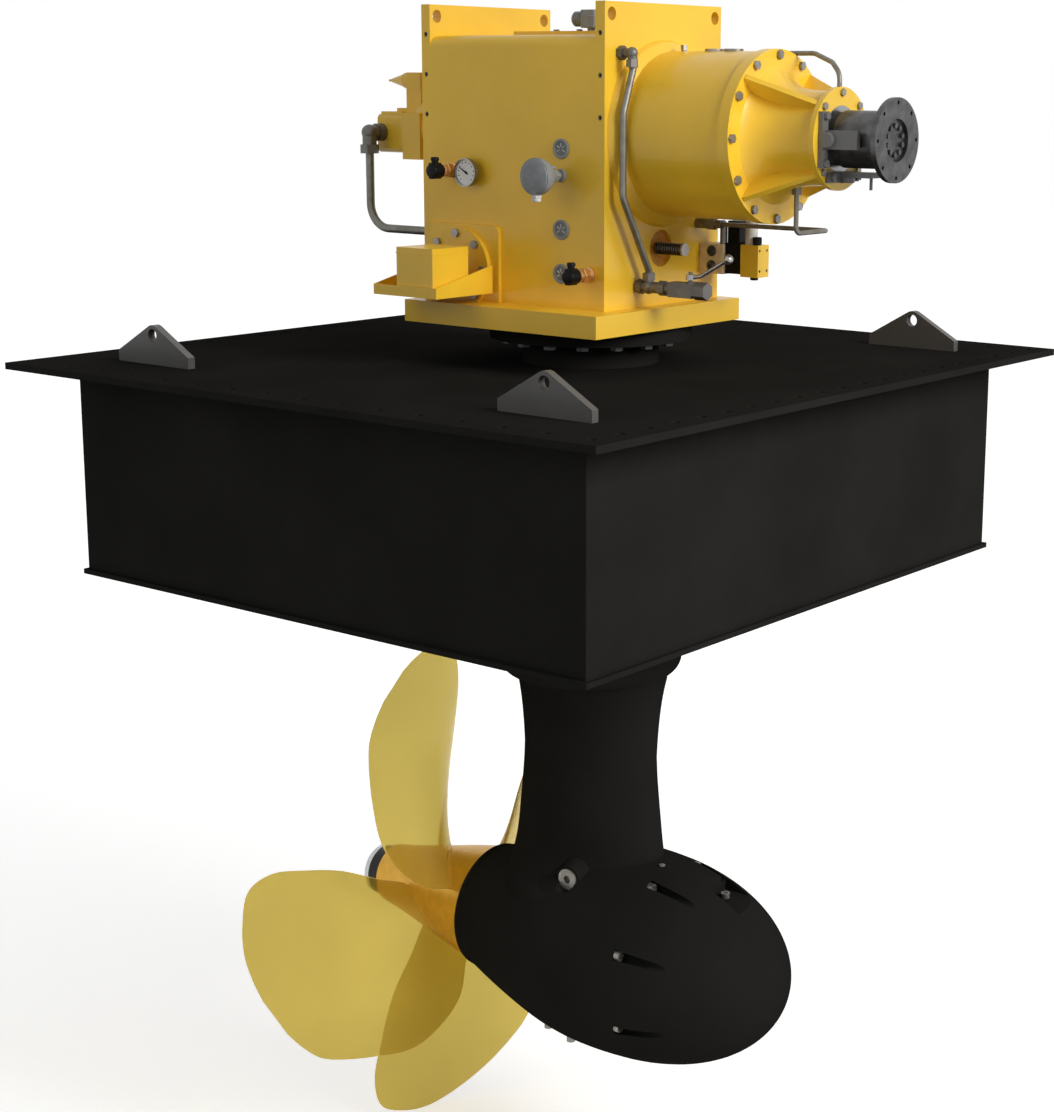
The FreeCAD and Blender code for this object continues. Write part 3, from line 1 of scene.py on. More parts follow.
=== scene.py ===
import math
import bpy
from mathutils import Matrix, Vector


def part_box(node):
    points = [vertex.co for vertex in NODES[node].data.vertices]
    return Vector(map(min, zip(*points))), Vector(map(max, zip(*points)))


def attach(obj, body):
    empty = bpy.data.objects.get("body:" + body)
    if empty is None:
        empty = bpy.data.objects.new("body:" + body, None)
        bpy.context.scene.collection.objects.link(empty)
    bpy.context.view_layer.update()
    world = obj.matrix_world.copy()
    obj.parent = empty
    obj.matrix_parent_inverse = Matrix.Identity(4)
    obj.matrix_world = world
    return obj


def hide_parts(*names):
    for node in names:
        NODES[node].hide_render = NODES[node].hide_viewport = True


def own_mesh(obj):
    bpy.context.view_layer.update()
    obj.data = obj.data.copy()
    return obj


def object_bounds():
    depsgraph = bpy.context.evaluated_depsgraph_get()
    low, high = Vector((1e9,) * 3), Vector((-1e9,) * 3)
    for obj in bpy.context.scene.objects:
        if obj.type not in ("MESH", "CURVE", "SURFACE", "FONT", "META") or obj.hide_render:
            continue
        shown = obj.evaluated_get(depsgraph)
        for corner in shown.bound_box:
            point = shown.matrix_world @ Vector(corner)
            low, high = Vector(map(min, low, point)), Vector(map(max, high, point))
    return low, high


bl_info = {
    "name": "Stern thruster",
    "version": (1, 0, 0),
    "blender": (4, 5, 0),
    "location": "3D View > Sidebar > Thruster",
    "description": "Dresses the frame of a stern thruster with its paint, propeller and fittings",
    "category": "Object",
}

import bmesh
import bpy
import numpy as np
from bpy.props import FloatProperty, FloatVectorProperty, IntProperty, PointerProperty
from mathutils import Matrix, Vector

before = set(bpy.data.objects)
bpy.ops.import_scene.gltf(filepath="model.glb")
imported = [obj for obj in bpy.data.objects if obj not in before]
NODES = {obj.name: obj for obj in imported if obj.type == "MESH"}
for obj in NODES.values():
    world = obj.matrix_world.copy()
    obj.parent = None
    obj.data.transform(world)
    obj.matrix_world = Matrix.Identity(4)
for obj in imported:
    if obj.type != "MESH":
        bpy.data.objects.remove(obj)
CAD_BOX = [list(corner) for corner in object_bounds()]

# Places in the frame, in metres
DRIVE_X = 0.128  # vertical shaft
SHAFT_Z = -1.48  # propeller shaft
BASE_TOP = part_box("case_base")[1].z
CONNECTOR_HEIGHT = 0.052
LID_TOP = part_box("sensor_head")[1].z - CONNECTOR_HEIGHT
FRONT_Y = -0.222  # front face of the gear case; the far face is at +0.222
COLUMN_X = 0.220  # column of sight glasses
CAP_SEAM = -0.603  # where the propeller cap's black ring ends

# Places of the front face's fittings: x, and height over the base plate
SENSOR_RISE = 0.303
SIGHT_RISES = (0.363, 0.180, 0.079)
DIAL_X, DIAL_RISE, DIAL_STANDOFF = -0.050, 0.302, 0.026
UNION_SPOTS = ((-0.110, 0.305), (0.304, 0.082))

# Screws in the edges of the side plates, and the lid's bolts
PLATE_MIDDLES = (-0.19765, 0.33165)
PLATE_HEIGHT = 0.689
SCREW_DROPS = (0.069, 0.162, 0.255)
LID_BOLTS = (0.021, 0.092)

# Directions
FORWARD, UP, DOWN = (0, -1, 0), (0, 0, 1), (0, 0, -1)


# Materials

def linear(srgb):
    """Scene-linear colour of an sRGB colour: each channel c becomes ((c + 0.055) / 1.055) ** 2.4."""
    c = np.asarray(srgb, float)
    return tuple(np.where(c <= 0.04045, c / 12.92, ((c + 0.055) / 1.055) ** 2.4)) + (1.0,)


STAIN_STOPS = (0.35, 0.65)
NOISE_MIDDLE = (0.3, 0.7)
RANGE_SOCKETS = ("From Min", "From Max", "To Min", "To Max")


class Finish:
    """One material: a Principled shader with its colour, roughness and normal worked out from noise."""

    def __init__(self, name, metallic=0.0, coat=0.0, coat_rough=0.1, specular=0.5, ior=1.5):
        self.material = bpy.data.materials.new(name)
        self.material.use_nodes = True
        self.tree = self.material.node_tree
        self.shader = self.tree.nodes["Principled BSDF"]
        for socket, value in (("Metallic", metallic), ("Coat Weight", coat), ("Coat Roughness", coat_rough),
                              ("Specular IOR Level", specular), ("IOR", ior)):
            self.shader.inputs[socket].default_value = value
        self.place = self.node("ShaderNodeTexCoord").outputs["Object"]

    def node(self, kind, **settings):
        made = self.tree.nodes.new(kind)
        for key, value in settings.items():
            setattr(made, key, value)
        return made

    def link(self, start, end):
        self.tree.links.new(start, end)

    def noise(self, scale, detail):
        """Value of a noise texture, finer where scale is larger and rougher where detail is."""
        texture = self.node("ShaderNodeTexNoise")
        texture.inputs["Scale"].default_value = scale
        texture.inputs["Detail"].default_value = detail
        self.link(self.place, texture.inputs["Vector"])
        return texture.outputs["Fac"]

    def ramp(self, value, *stops):
        """Colour that runs through (position, colour) stops as value goes from 0 to 1."""
        ramp = self.node("ShaderNodeValToRGB")
        band = ramp.color_ramp
        while len(band.elements) < len(stops):
            band.elements.new(0.5)
        for element, (position, colour) in zip(band.elements, stops):
            element.position = position
            element.color = colour
        self.link(value, ramp.inputs["Fac"])
        return ramp.outputs["Color"]

    def stain(self, value, colour, variation):
        """Base colour that drifts with value from a little darker to a little lighter than colour."""
        tone = np.clip(np.outer((1 - variation, 1 + variation), colour), 0, 1)
        stops = zip(STAIN_STOPS, (linear(tone[0]), linear(tone[1])))
        self.link(self.ramp(value, *stops), self.shader.inputs["Base Color"])

    def shine(self, value, low, high):
        """Roughness that runs from low to high as value runs over the middle of a noise."""
        span = self.node("ShaderNodeMapRange")
        for socket, number in zip(RANGE_SOCKETS, (*NOISE_MIDDLE, low, high)):
            span.inputs[socket].default_value = number
        self.link(value, span.inputs["Value"])
        self.link(span.outputs["Result"], self.shader.inputs["Roughness"])

    def bump(self, value, depth):
        """Normal of a surface raised by value times depth, in metres."""
        bump = self.node("ShaderNodeBump")
        bump.inputs["Distance"].default_value = depth
        bump.inputs["Strength"].default_value = 1.0
        self.link(value, bump.inputs["Height"])
        self.link(bump.outputs["Normal"], self.shader.inputs["Normal"])


def paint(name, colour, variation, roughness, grain, grain_depth, coat, specular=0.5):
    """Sprayed paint: slow drift of tone, uneven gloss and a fine orange peel."""
    finish = Finish(name, coat=coat, coat_rough=0.14, specular=specular)
    finish.stain(finish.noise(3.2, 4.0), colour, variation)
    finish.shine(finish.noise(17.0, 5.0), *roughness)
    finish.bump(finish.noise(grain, 2.0), grain_depth)
    return finish


def metal(name, colour, variation, roughness, grain, grain_depth, metallic=1.0):
    """Bare metal: ground grain, a little staining and uneven shine."""
    finish = Finish(name, metallic=metallic)
    finish.stain(finish.noise(38.0, 5.0), colour, variation)
    lines = finish.noise(grain, 3.0)
    finish.shine(lines, *roughness)
    finish.bump(lines, grain_depth)
    return finish


def plastic(name, colour, variation, roughness, specular=0.35):
    """Moulded or cast piece: fine pebbling and soft changes of shine."""
    finish = Finish(name, specular=specular)
    finish.stain(finish.noise(60.0, 3.0), colour, variation)
    finish.shine(finish.noise(90.0, 2.0), *roughness)
    finish.bump(finish.noise(900.0, 1.0), 0.00012)
    return finish


# Meshes

def rows_of(points):
    return np.asarray(points, float)


def grid_faces(rows, columns):
    """Quads between the points of a rows by columns grid, whose last column joins the first: the corners are
    (i, j), (i + 1, j), (i + 1, j + 1) and (i, j + 1)."""
    i, j = (a.ravel() for a in np.meshgrid(np.arange(rows - 1), np.arange(columns), indexing="ij"))
    a, b = i + 1, (j + 1) % columns
    return np.stack([i * columns + j, a * columns + j, a * columns + b, i * columns + b], axis=1)


class Mould:
    """Gathers grids of points and their faces, then pours them into one mesh."""

    def __init__(self):
        self.points, self.faces, self.count = [], [], 0

    def add(self, points, faces):
        self.points.append(np.asarray(points, float).reshape(-1, 3))
        self.faces.extend((np.asarray(face) + self.count).tolist() for face in faces)
        self.count += len(self.points[-1])
        return self

    def grid(self, points):
        """Add a (rows, columns, 3) grid of closed rows, with a face over the first row and over the last."""
        rows, columns = points.shape[:2]
        ring = np.arange(columns)
        return self.add(points, [*grid_faces(rows, columns), ring, ring[::-1] + (rows - 1) * columns])

    def lathe(self, profile, centre, axis, count=64):
        """Solid turned from (along, radius) pairs, in millimetres; six sides make a hexagon."""
        return self.grid(turned(rows_of(profile) / 1000, centre, axis, count))

    def box(self, low, high, cut=0.001):
        return self.add(*box_points(low, high, cut))

    def piece(self, name, finish, body, slot, replaces=(), smooth=30.0):
        """Pour the mesh, give it a finish and a body; edges sharper than smooth degrees stay sharp. The slot is
        not used.
        """
        mesh = bpy.data.meshes.new(name)
        mesh.from_pydata(np.concatenate(self.points).tolist(), [], self.faces)
        mesh.validate()
        mesh.update()
        shaped = bpy.data.objects.new(name, mesh)
        bpy.context.scene.collection.objects.link(shaped)
        mesh.materials.append(finish)
        tidy_normals(mesh)
        mesh.shade_smooth()
        mesh.set_sharp_from_angle(angle=math.radians(smooth))
        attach(shaped, body)
        if replaces:
            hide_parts(*replaces)
        return shaped


def tidy_normals(mesh):
    """Weld doubled points and turn all faces outwards."""
    shell = bmesh.new()
    shell.from_mesh(mesh)
    bmesh.ops.remove_doubles(shell, verts=shell.verts, dist=1e-6)
    bmesh.ops.recalc_face_normals(shell, faces=shell.faces)
    shell.to_mesh(mesh)
    shell.free()


def turned(profile, centre, axis, count):
    """Grid of a profile of (along, radius) pairs carried round an axis: point = centre + along * axis +
    radius * (cos t * side + sin t * up)."""
    profile = rows_of(profile)
    axis = np.asarray(axis, float) / np.linalg.norm(axis)
    side = np.cross(axis, (0, 0, 1.0) if abs(axis[2]) < 0.9 else (0, 1.0, 0))
    side /= np.linalg.norm(side)
    up = np.cross(axis, side)
    t = np.radians(np.linspace(0, 360.0, count, endpoint=False))
    circle = np.outer(np.cos(t), side) + np.outer(np.sin(t), up)
    return (np.asarray(centre) + profile[:, None, :1] * axis + profile[:, None, 1:] * circle[None])


def box_points(low, high, cut):
    """Chamfered box: at each corner one point per axis, with the other two coordinates moved in by cut."""
    low, high = np.asarray(low, float), np.asarray(high, float)
    signs = np.array([(x, y, z) for x in (0, 1) for y in (0, 1) for z in (0, 1)])
    corner = np.where(signs, high, low)
    inward = np.where(signs, -cut, cut)
    points = corner[:, None] + inward[:, None] * (1 - np.eye(3))[None]
    faces = []
    for axis in range(3):
        a, b = (k for k in range(3) if k != axis)
        for side in (0, 1):
            ring = [k for k in range(8) if signs[k][axis] == side]
            faces.append([3 * ring[k] + axis for k in (0, 1, 3, 2)])
        for first in range(8):
            second = first + (4, 2, 1)[axis]
            if signs[first][axis] == 0:
                faces.append([3 * first + a, 3 * first + b, 3 * second + b, 3 * second + a])
    faces += [[3 * k, 3 * k + 1, 3 * k + 2] for k in range(8)]
    return points.reshape(-1, 3), faces


def smooth_line(points, count):
    """Cubic curve through the points: Hermite pieces whose slopes are the finite differences."""
    slope = np.gradient(points, axis=0)
    t = np.linspace(0, len(points) - 1, count)
    k = np.minimum(t.astype(int), len(points) - 2)
    u = (t - k)[:, None]
    return ((2 * u ** 3 - 3 * u ** 2 + 1) * points[k] + (u ** 3 - 2 * u ** 2 + u) * slope[k]
            + (3 * u ** 2 - 2 * u ** 3) * points[k + 1] + (u ** 3 - u ** 2) * slope[k + 1])


def tube(path, radius, sides):
    """Grid of a round section carried along a path without twisting: each frame is the last one turned by
    the smallest angle onto the new direction."""
    heading = np.gradient(path, axis=0)
    heading /= np.linalg.norm(heading, axis=1)[:, None]
    side = np.cross(heading[0], (0.31, 0.17, 0.94))
    frames = []
    for step in heading:
        side = side - step * (side @ step)
        side /= np.linalg.norm(side)
        frames.append((side, np.cross(step, side)))
    frames = np.array(frames)
    t = np.linspace(0, 2 * np.pi, sides, endpoint=False)
    radius = np.broadcast_to(np.asarray(radius, float), len(path))
    return (path[:, None] + radius[:, None, None]
            * (np.cos(t)[None, :, None] * frames[:, :1] + np.sin(t)[None, :, None] * frames[:, 1:]))


# Settings a user would change

class StageSettings(bpy.types.PropertyGroup):
    lens: FloatProperty(name="Lens", description="Focal length of the camera, in millimetres",
                        default=66.9, min=10, max=300)
    floor_tone: FloatVectorProperty(name="Floor", description="Colour of the floor", subtype="COLOR",
                                    size=3, default=(0.82, 0.82, 0.82), min=0, max=1)
    light: FloatProperty(name="Light", description="Level of the soft lamps", default=1.0, min=0, max=10)
    surround: FloatProperty(name="Surround", description="Level of the light from all round", default=0.24,
                            min=0, max=5)


class PaintSettings(bpy.types.PropertyGroup):
    unit: FloatVectorProperty(name="Gear unit", description="Colour of the gear unit's gloss paint",
                              subtype="COLOR_GAMMA", size=3, default=(0.960, 0.780, 0.195), min=0, max=1)
    hull: FloatVectorProperty(name="Well and leg", description="Colour of the satin coating",
                              subtype="COLOR_GAMMA", size=3, default=(0.150, 0.148, 0.143), min=0, max=1)


class LegSettings(bpy.types.PropertyGroup):
    radius: FloatProperty(name="Collar radius", description="Radius of the collar, in millimetres",
                          default=230, min=150, max=400)
    depth: FloatProperty(name="Collar depth", description="Height of the collar under the well, in millimetres",
                         default=264, min=60, max=500)
    edge: FloatProperty(name="Collar edge", description="Rounding of the collar's lower edge, in millimetres",
                        default=45, min=5, max=60)
    flare: FloatProperty(name="Strut flare", description="Widening of the strut at the collar, in millimetres",
                         default=29, min=0, max=80)
    reach: FloatProperty(name="Flare reach", description="Height over which the flare dies out, in millimetres",
                         default=110, min=20, max=300)


class FittingSettings(bpy.types.PropertyGroup):
    turns: IntProperty(name="Spring turns", description="Turns of the plunger's spring", default=11,
                       min=3, max=40)
    wire: FloatProperty(name="Spring wire", description="Half the wire's thickness, in millimetres",
                        default=2.2, min=0.2, max=5)
    marks: IntProperty(name="Dial marks", description="Number of dots on the dial", default=11, min=2, max=40)


class PropellerSettings(bpy.types.PropertyGroup):
    bronze: FloatVectorProperty(name="Blades", description="Colour of the blades", subtype="COLOR_GAMMA",
                                size=3, default=(0.85, 0.765, 0.40), min=0, max=1)
    cover: FloatProperty(name="Cover", description="How much a blade hides what is behind one of its faces",
                         default=0.25, min=0, max=1)
    blades: IntProperty(name="Blades", description="Number of blades", default=4, min=2, max=8)
    lean: FloatProperty(name="Lean", description="Turn of the first blade from straight up, in degrees",
                        default=28.0, min=-180, max=180)


# Materials of the frame's nodes

NODE_FINISHES = {
    "unit_paint": "gear_case case_base side_plate_drive side_plate_pump clutch_housing input_housing "
                  "inspection_cover junction_box manifold box_bracket oil_pump",
    "hull_paint": "well_top_plate well_wall_port well_wall_starboard well_wall_fore well_wall_aft "
                  "well_floor well_webs leg_casting nose_cap stem_tube rope_guard",
    "lug_paint": "lifting_lugs",
    "plated_steel": "unit_bolts pod_plugs nose_bolts housing_caps",
    "fitting_steel": "pipe_fittings",
    "pipe_steel": "oil_pipes brake_pipes",
    "lever_chrome": "valve_lever plunger",
    "dark_steel": "coupling_flange stem_bolts",
    "arm_iron": "brake_arms",
    "dial_case": "thermometer",
    "white_filter": "oil_filter",
    "black_plug": "solenoid_valve gauge_needle",
    "hub_bronze": "propeller_hub",
    "cap_steel": "propeller_cap",
    # plunger guide: darker orange than the unit paint, painted shade of the recess it sits in
    "recess_painted_shade": "plunger_guide",
    "ground_steel": "bearings propeller_shaft lower_crown_wheel vertical_shaft lower_pinion "
                    "upper_crown_wheel input_shaft upper_pinion clutch_pack",
    "seal_rubber": "shaft_seals",
}


def cap_finish():
    """The propeller's end cap: black ring, then bright steel past a plane across the axis."""
    finish = Finish("cap_steel", metallic=0.5, specular=0.3)
    along = finish.node("ShaderNodeSeparateXYZ")
    finish.link(finish.place, along.inputs[0])
    edge = finish.node("ShaderNodeMath", operation="LESS_THAN")
    edge.inputs[1].default_value = CAP_SEAM
    finish.link(along.outputs["X"], edge.inputs[0])
    mix = finish.node("ShaderNodeMix", data_type="RGBA")
    finish.link(edge.outputs[0], mix.inputs["Factor"])
    for socket, grey in ((6, (0.14, 0.14, 0.14)), (7, (0.86, 0.87, 0.88))):
        mix.inputs[socket].default_value = linear(grey)
    finish.link(mix.outputs[2], finish.shader.inputs["Base Color"])
    finish.shine(finish.noise(40.0, 3.0), 0.25, 0.38)
    return finish


# Colour, change of tone, roughness, scale and depth of the grain, and the coat
PAINTS = {
    "lug_paint": ((0.34, 0.335, 0.33), 0.05, (0.40, 0.55), 300.0, 0.0003, 0.1),
    "arm_iron": ((0.42, 0.42, 0.42), 0.08, (0.4, 0.55), 500.0, 0.0002, 0.1),
}
# Colour, change of tone, roughness, scale and depth of the grain, and how metallic it is
METALS = {
    "plated_steel": ((0.56, 0.55, 0.53), 0.10, (0.34, 0.50), 260.0, 0.0001, 0.7),
    "pipe_steel": ((0.47, 0.46, 0.43), 0.08, (0.36, 0.50), 300.0, 0.00006, 0.6),
    "fitting_steel": ((0.42, 0.41, 0.40), 0.08, (0.38, 0.52), 260.0, 0.0001, 0.5),
    "lever_chrome": ((0.62, 0.61, 0.60), 0.05, (0.20, 0.32), 300.0, 0.00004, 0.8),
    "dark_steel": ((0.34, 0.34, 0.34), 0.12, (0.35, 0.5), 240.0, 0.0001),
    "dial_case": ((0.55, 0.55, 0.55), 0.06, (0.2, 0.35), 300.0, 0.00005),
    "machined_brass": ((0.80, 0.61, 0.38), 0.07, (0.28, 0.40), 300.0, 0.00005, 0.7),
    "hub_bronze": ((0.87, 0.665, 0.22), 0.03, (0.30, 0.40), 120.0, 0.00003, 0.6),
    # darker orange for the plunger guide: painted shade of its recess
    "recess_painted_shade": ((0.76, 0.52, 0.16), 0.10, (0.35, 0.5), 200.0, 0.0001, 0.3),
    "spring_wire": ((0.33, 0.31, 0.28), 0.12, (0.25, 0.4), 300.0, 0.00006),
    "ground_steel": ((0.60, 0.60, 0.60), 0.05, (0.2, 0.35), 300.0, 0.00004),
}
# Colour, change of tone, roughness
PLASTICS = {
    "cast_grey": ((0.53, 0.545, 0.555), 0.04, (0.38, 0.5)),
    "cream_block": ((0.90, 0.84, 0.74), 0.04, (0.4, 0.5)),
    "white_filter": ((0.86, 0.85, 0.82), 0.03, (0.35, 0.45)),
    "black_plug": ((0.055, 0.055, 0.055), 0.10, (0.40, 0.5), 0.12),
    "dial_white": ((0.985, 0.985, 0.975), 0.01, (0.35, 0.45)),
    "sensor_white": ((0.85, 0.85, 0.84), 0.02, (0.35, 0.45)),
    "seal_rubber": ((0.10, 0.10, 0.10), 0.10, (0.55, 0.7)),
    "sight_glass": ((0.42, 0.44, 0.42), 0.10, (0.08, 0.15)),
}


def make_finishes(settings):
    """All the materials by name."""
    main_paints = {
        "unit_paint": (tuple(settings.unit), 0.03, (0.34, 0.44), 420.0, 0.00014, 0.25),
        "hull_paint": (tuple(settings.hull), 0.06, (0.55, 0.68), 300.0, 0.00018, 0.0, 0.0),
    }
    made = {"cap_steel": cap_finish().material}
    for make, table in ((paint, main_paints), (paint, PAINTS), (metal, METALS), (plastic, PLASTICS)):
        for name, row in table.items():
            made[name] = make(name, *row).material
    return made


FINISHES = {}
REPLACED = {"propeller_blades", "sensor_head", "sight_glass_bodies", "sight_glasses", "elbow_plugs",
            "oil_fittings", "plunger_spring", "valve_block"}


class THRUSTER_OT_finishes(bpy.types.Operator):
    """Give every node of the frame its paint, metal or plastic"""
    bl_idname = "thruster.finishes"
    bl_label = "Finishes"

    def execute(self, context):
        FINISHES.update(make_finishes(context.scene.thruster_paint))
        for name, nodes in NODE_FINISHES.items():
            for node in nodes.split():
                mesh = NODES[node].data
                mesh.materials.clear()
                mesh.materials.append(FINISHES[name])
        left = set(NODES) - REPLACED - {node for nodes in NODE_FINISHES.values() for node in nodes.split()}
        if left:
            raise RuntimeError("no finish for %s" % ", ".join(sorted(left)))
        return {"FINISHED"}


# Propeller

BLADE_ROWS = [(0.13, 240, 33, 754, 46), (0.22, 320, 43, 774, 40), (0.34, 470, 55, 801, 33),
              (0.48, 571, 80, 833, 27), (0.62, 630, 116, 863, 21), (0.76, 590, 153, 891, 16),
              (0.87, 480, 156, 911, 12), (0.94, 368, 150, 925, 9.5), (0.975, 244, 147, 931, 8),
              (0.993, 122, 145, 935, 7)]
BLADE_PLANE, BLADE_RAKE, BLADE_SPAN = -0.422, -0.075, 0.616


def blade_grid(rows=56, columns=56):
    """One blade standing up: at share s of the span a flat aerofoil section of chord c lies at the pitch
    angle a = atan(pitch / 2 pi r). Its point at u along the chord is the centre + ((u - 1/2) c + sweep) *
    (-sin a, cos a) + (arch +- half thickness) * (cos a, sin a), with half = t (0.06 + 1.1 sqrt(u)
    (1 - u) ** 0.9) / 2."""
    table = rows_of(BLADE_ROWS) * (1, 0.001, 0.001, 0.001, 0.001)
    line = smooth_line(table, rows)
    share, chord, sweep, pitch, thick = (line[:, k:k + 1] for k in range(5))
    around = np.linspace(0, 2 * np.pi, columns, endpoint=False)[None]
    u = 0.5 - 0.5 * np.cos(around)
    side = np.sign(np.sin(around))
    half = thick * (0.06 + 1.1 * np.sqrt(u) * (1 - u) ** 0.9) / 2
    across = 0.05 * chord * u * (1 - u) + side * half
    along = (u - 0.5) * chord + sweep
    radius = share * BLADE_SPAN
    angle = np.arctan2(pitch, 2 * np.pi * radius)
    x = BLADE_PLANE + BLADE_RAKE * share - np.sin(angle) * along + np.cos(angle) * across
    y = np.cos(angle) * along + np.sin(angle) * across
    return np.stack([x + DRIVE_X, y, np.broadcast_to(radius, x.shape)], axis=-1)


class THRUSTER_OT_blades(bpy.types.Operator):
    """Make the swept blades of the propeller"""
    bl_idname = "thruster.blades"
    bl_label = "Blades"

    def execute(self, context):
        settings = context.scene.thruster_propeller
        finish = Finish("blade_bronze", specular=0.25, ior=1.08)
        finish.shader.inputs["Transmission Weight"].default_value = 1 - settings.cover
        finish.stain(finish.noise(2.6, 3.0), tuple(settings.bronze), 0.02)
        finish.shine(finish.noise(30.0, 3.0), 0.10, 0.16)
        mould = Mould()
        blade = blade_grid()
        for k in range(settings.blades):
            a = math.radians(settings.lean + 360.0 / settings.blades * k)
            turn = np.array(((1, 0, 0), (0, math.cos(a), -math.sin(a)), (0, math.sin(a), math.cos(a))))
            mould.grid(blade @ turn.T + (0, 0, SHAFT_Z))
        mould.piece("blades", finish.material, "propeller_line", "blade_bronze", ["propeller_blades"], 50)
        return {"FINISHED"}


# Leg

STRUT_HALF_LENGTH, STRUT_HALF_WIDTH = 189, 112
FLARE_DROP, FLARE_ROWS = 225, 24
COLLAR_SHELF = 4  # fall of the collar's underside towards the strut


def collar_points(radius, depth, edge, flare, reach, count=144):
    """Collar round a strut that widens towards it, as distances r from the vertical line at depth d:
    r(t, d) = max(c(d), a b / sqrt((b cos t)^2 + (a sin t)^2)) with c the collar's radius, a and b the strut's
    half length and half width, each with flare e added, and e = exp((depth - d) / reach)."""
    turn = np.linspace(0, np.pi / 2, 13)
    rounded = np.stack([depth - edge + edge * np.sin(turn), radius - edge + edge * np.cos(turn)], axis=1)
    shelf = depth + COLLAR_SHELF
    below = shelf + np.linspace(COLLAR_SHELF, FLARE_DROP, FLARE_ROWS)
    rows = np.concatenate([[(0, radius)], rounded, [(shelf, 100)], np.stack([below, 0 * below], axis=1)])
    e = np.exp((depth - rows[:, :1]).clip(max=0) / reach)
    a, b = STRUT_HALF_LENGTH + flare * e, STRUT_HALF_WIDTH + flare * e
    t = np.linspace(0, 2 * np.pi, count, endpoint=False)[None]
    r = np.maximum(rows[:, 1:], a * b / np.hypot(b * np.cos(t), a * np.sin(t)))
    return np.stack([r * np.cos(t), r * np.sin(t), -rows[:, :1] + 0 * r], axis=2) / 1000


class THRUSTER_OT_collar(bpy.types.Operator):
    """Make the round collar between the well and the strut"""
    bl_idname = "thruster.collar"
    bl_label = "Collar"

    def execute(self, context):
        leg = context.scene.thruster_leg
        points = collar_points(leg.radius, leg.depth, leg.edge, leg.flare, leg.reach)
        collar = Mould().grid(points + (DRIVE_X, 0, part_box("well_floor")[0].z))
        collar.piece("leg_collar", FINISHES["hull_paint"], "unit", "black_paint", smooth=40)
        return {"FINISHED"}


# Gauges and fittings of the front face. Profiles are (along, radius) pairs in millimetres, from the axis to
# the axis; HUB is the smallest radius, which keeps a profile's ends open for the closing faces.

HUB = 0.3


def on_face(x, rise, out=0.0):
    """Point of the front face, rise above the base plate and out in front of it, in metres."""
    return (x, FRONT_Y - out, BASE_TOP + rise)


def round_at(centre, radius, degrees):
    """Point on an upright circle that faces forward: centre + radius * (cos t, 0, sin t)."""
    t = math.radians(degrees)
    return (centre[0] + radius * math.cos(t), centre[1], centre[2] + radius * math.sin(t))


SENSOR_NECK = [(-4, HUB), (-4, 15), (6, 15), (8, 13), (8, 9), (22, 9), (22, HUB)]
SENSOR_NUT = [(20, HUB), (20, 13.5), (21, 15), (33, 15), (34, 13.5), (34, HUB)]
SENSOR_HEAD = [(33, HUB), (33, 15), (38, 17), (68, 36), (73, 39), (80, 40), (80, 41.5), (81.5, 42),
               (95, 42), (96.5, 41.4), (96.5, 39.5), (99, 38.5), (102, 30), (103.6, 16), (104, HUB)]
SENSOR_SPOUT = [(30, HUB), (30, 14), (36, 14), (40, 12), (41, 12), (41, HUB)]
SENSOR_SCREW = [(60, HUB), (60, 4.0), (79, 4.0), (80, 3.0), (80, HUB)]
GLAND_NUT = [(40, HUB), (40, 11.5), (41, 12.5), (47, 12.5), (48, 11), (48, HUB)]
GLAND_LIP = [(47, HUB), (47, 9.5), (50, 10.5), (54, 10.5), (56, 9), (56, 6), (50, 6), (50, HUB)]
DIAL_DISC = [(-0.4, HUB), (-0.4, 29.9), (0.35, 29.9), (0.35, HUB)]
DIAL_DOT = [(0.2, HUB), (0.2, 1.5), (0.6, 1.5), (0.6, HUB)]
DIAL_BOSS = [(0.2, HUB), (0.2, 3.2), (0.8, 3.2), (0.8, HUB)]
SIGHT_RIM = [(-5, HUB), (-5, 22.9), (3.6, 22.9), (5, 21.5), (5, 18), (3.4, 15.8), (1.4, 15.8), (1.4, HUB)]
SIGHT_PANE = [(1.5, HUB), (1.5, 15.5), (2.2, 15.5), (2.6, HUB)]
SPOKE_TURNS = (90, 210, 330, 30, 150)
SPOKE_REACH, SPOKE_RADII = (0.004, 0.009, 0.0135), (0.0008, 0.0014, 0.0010)


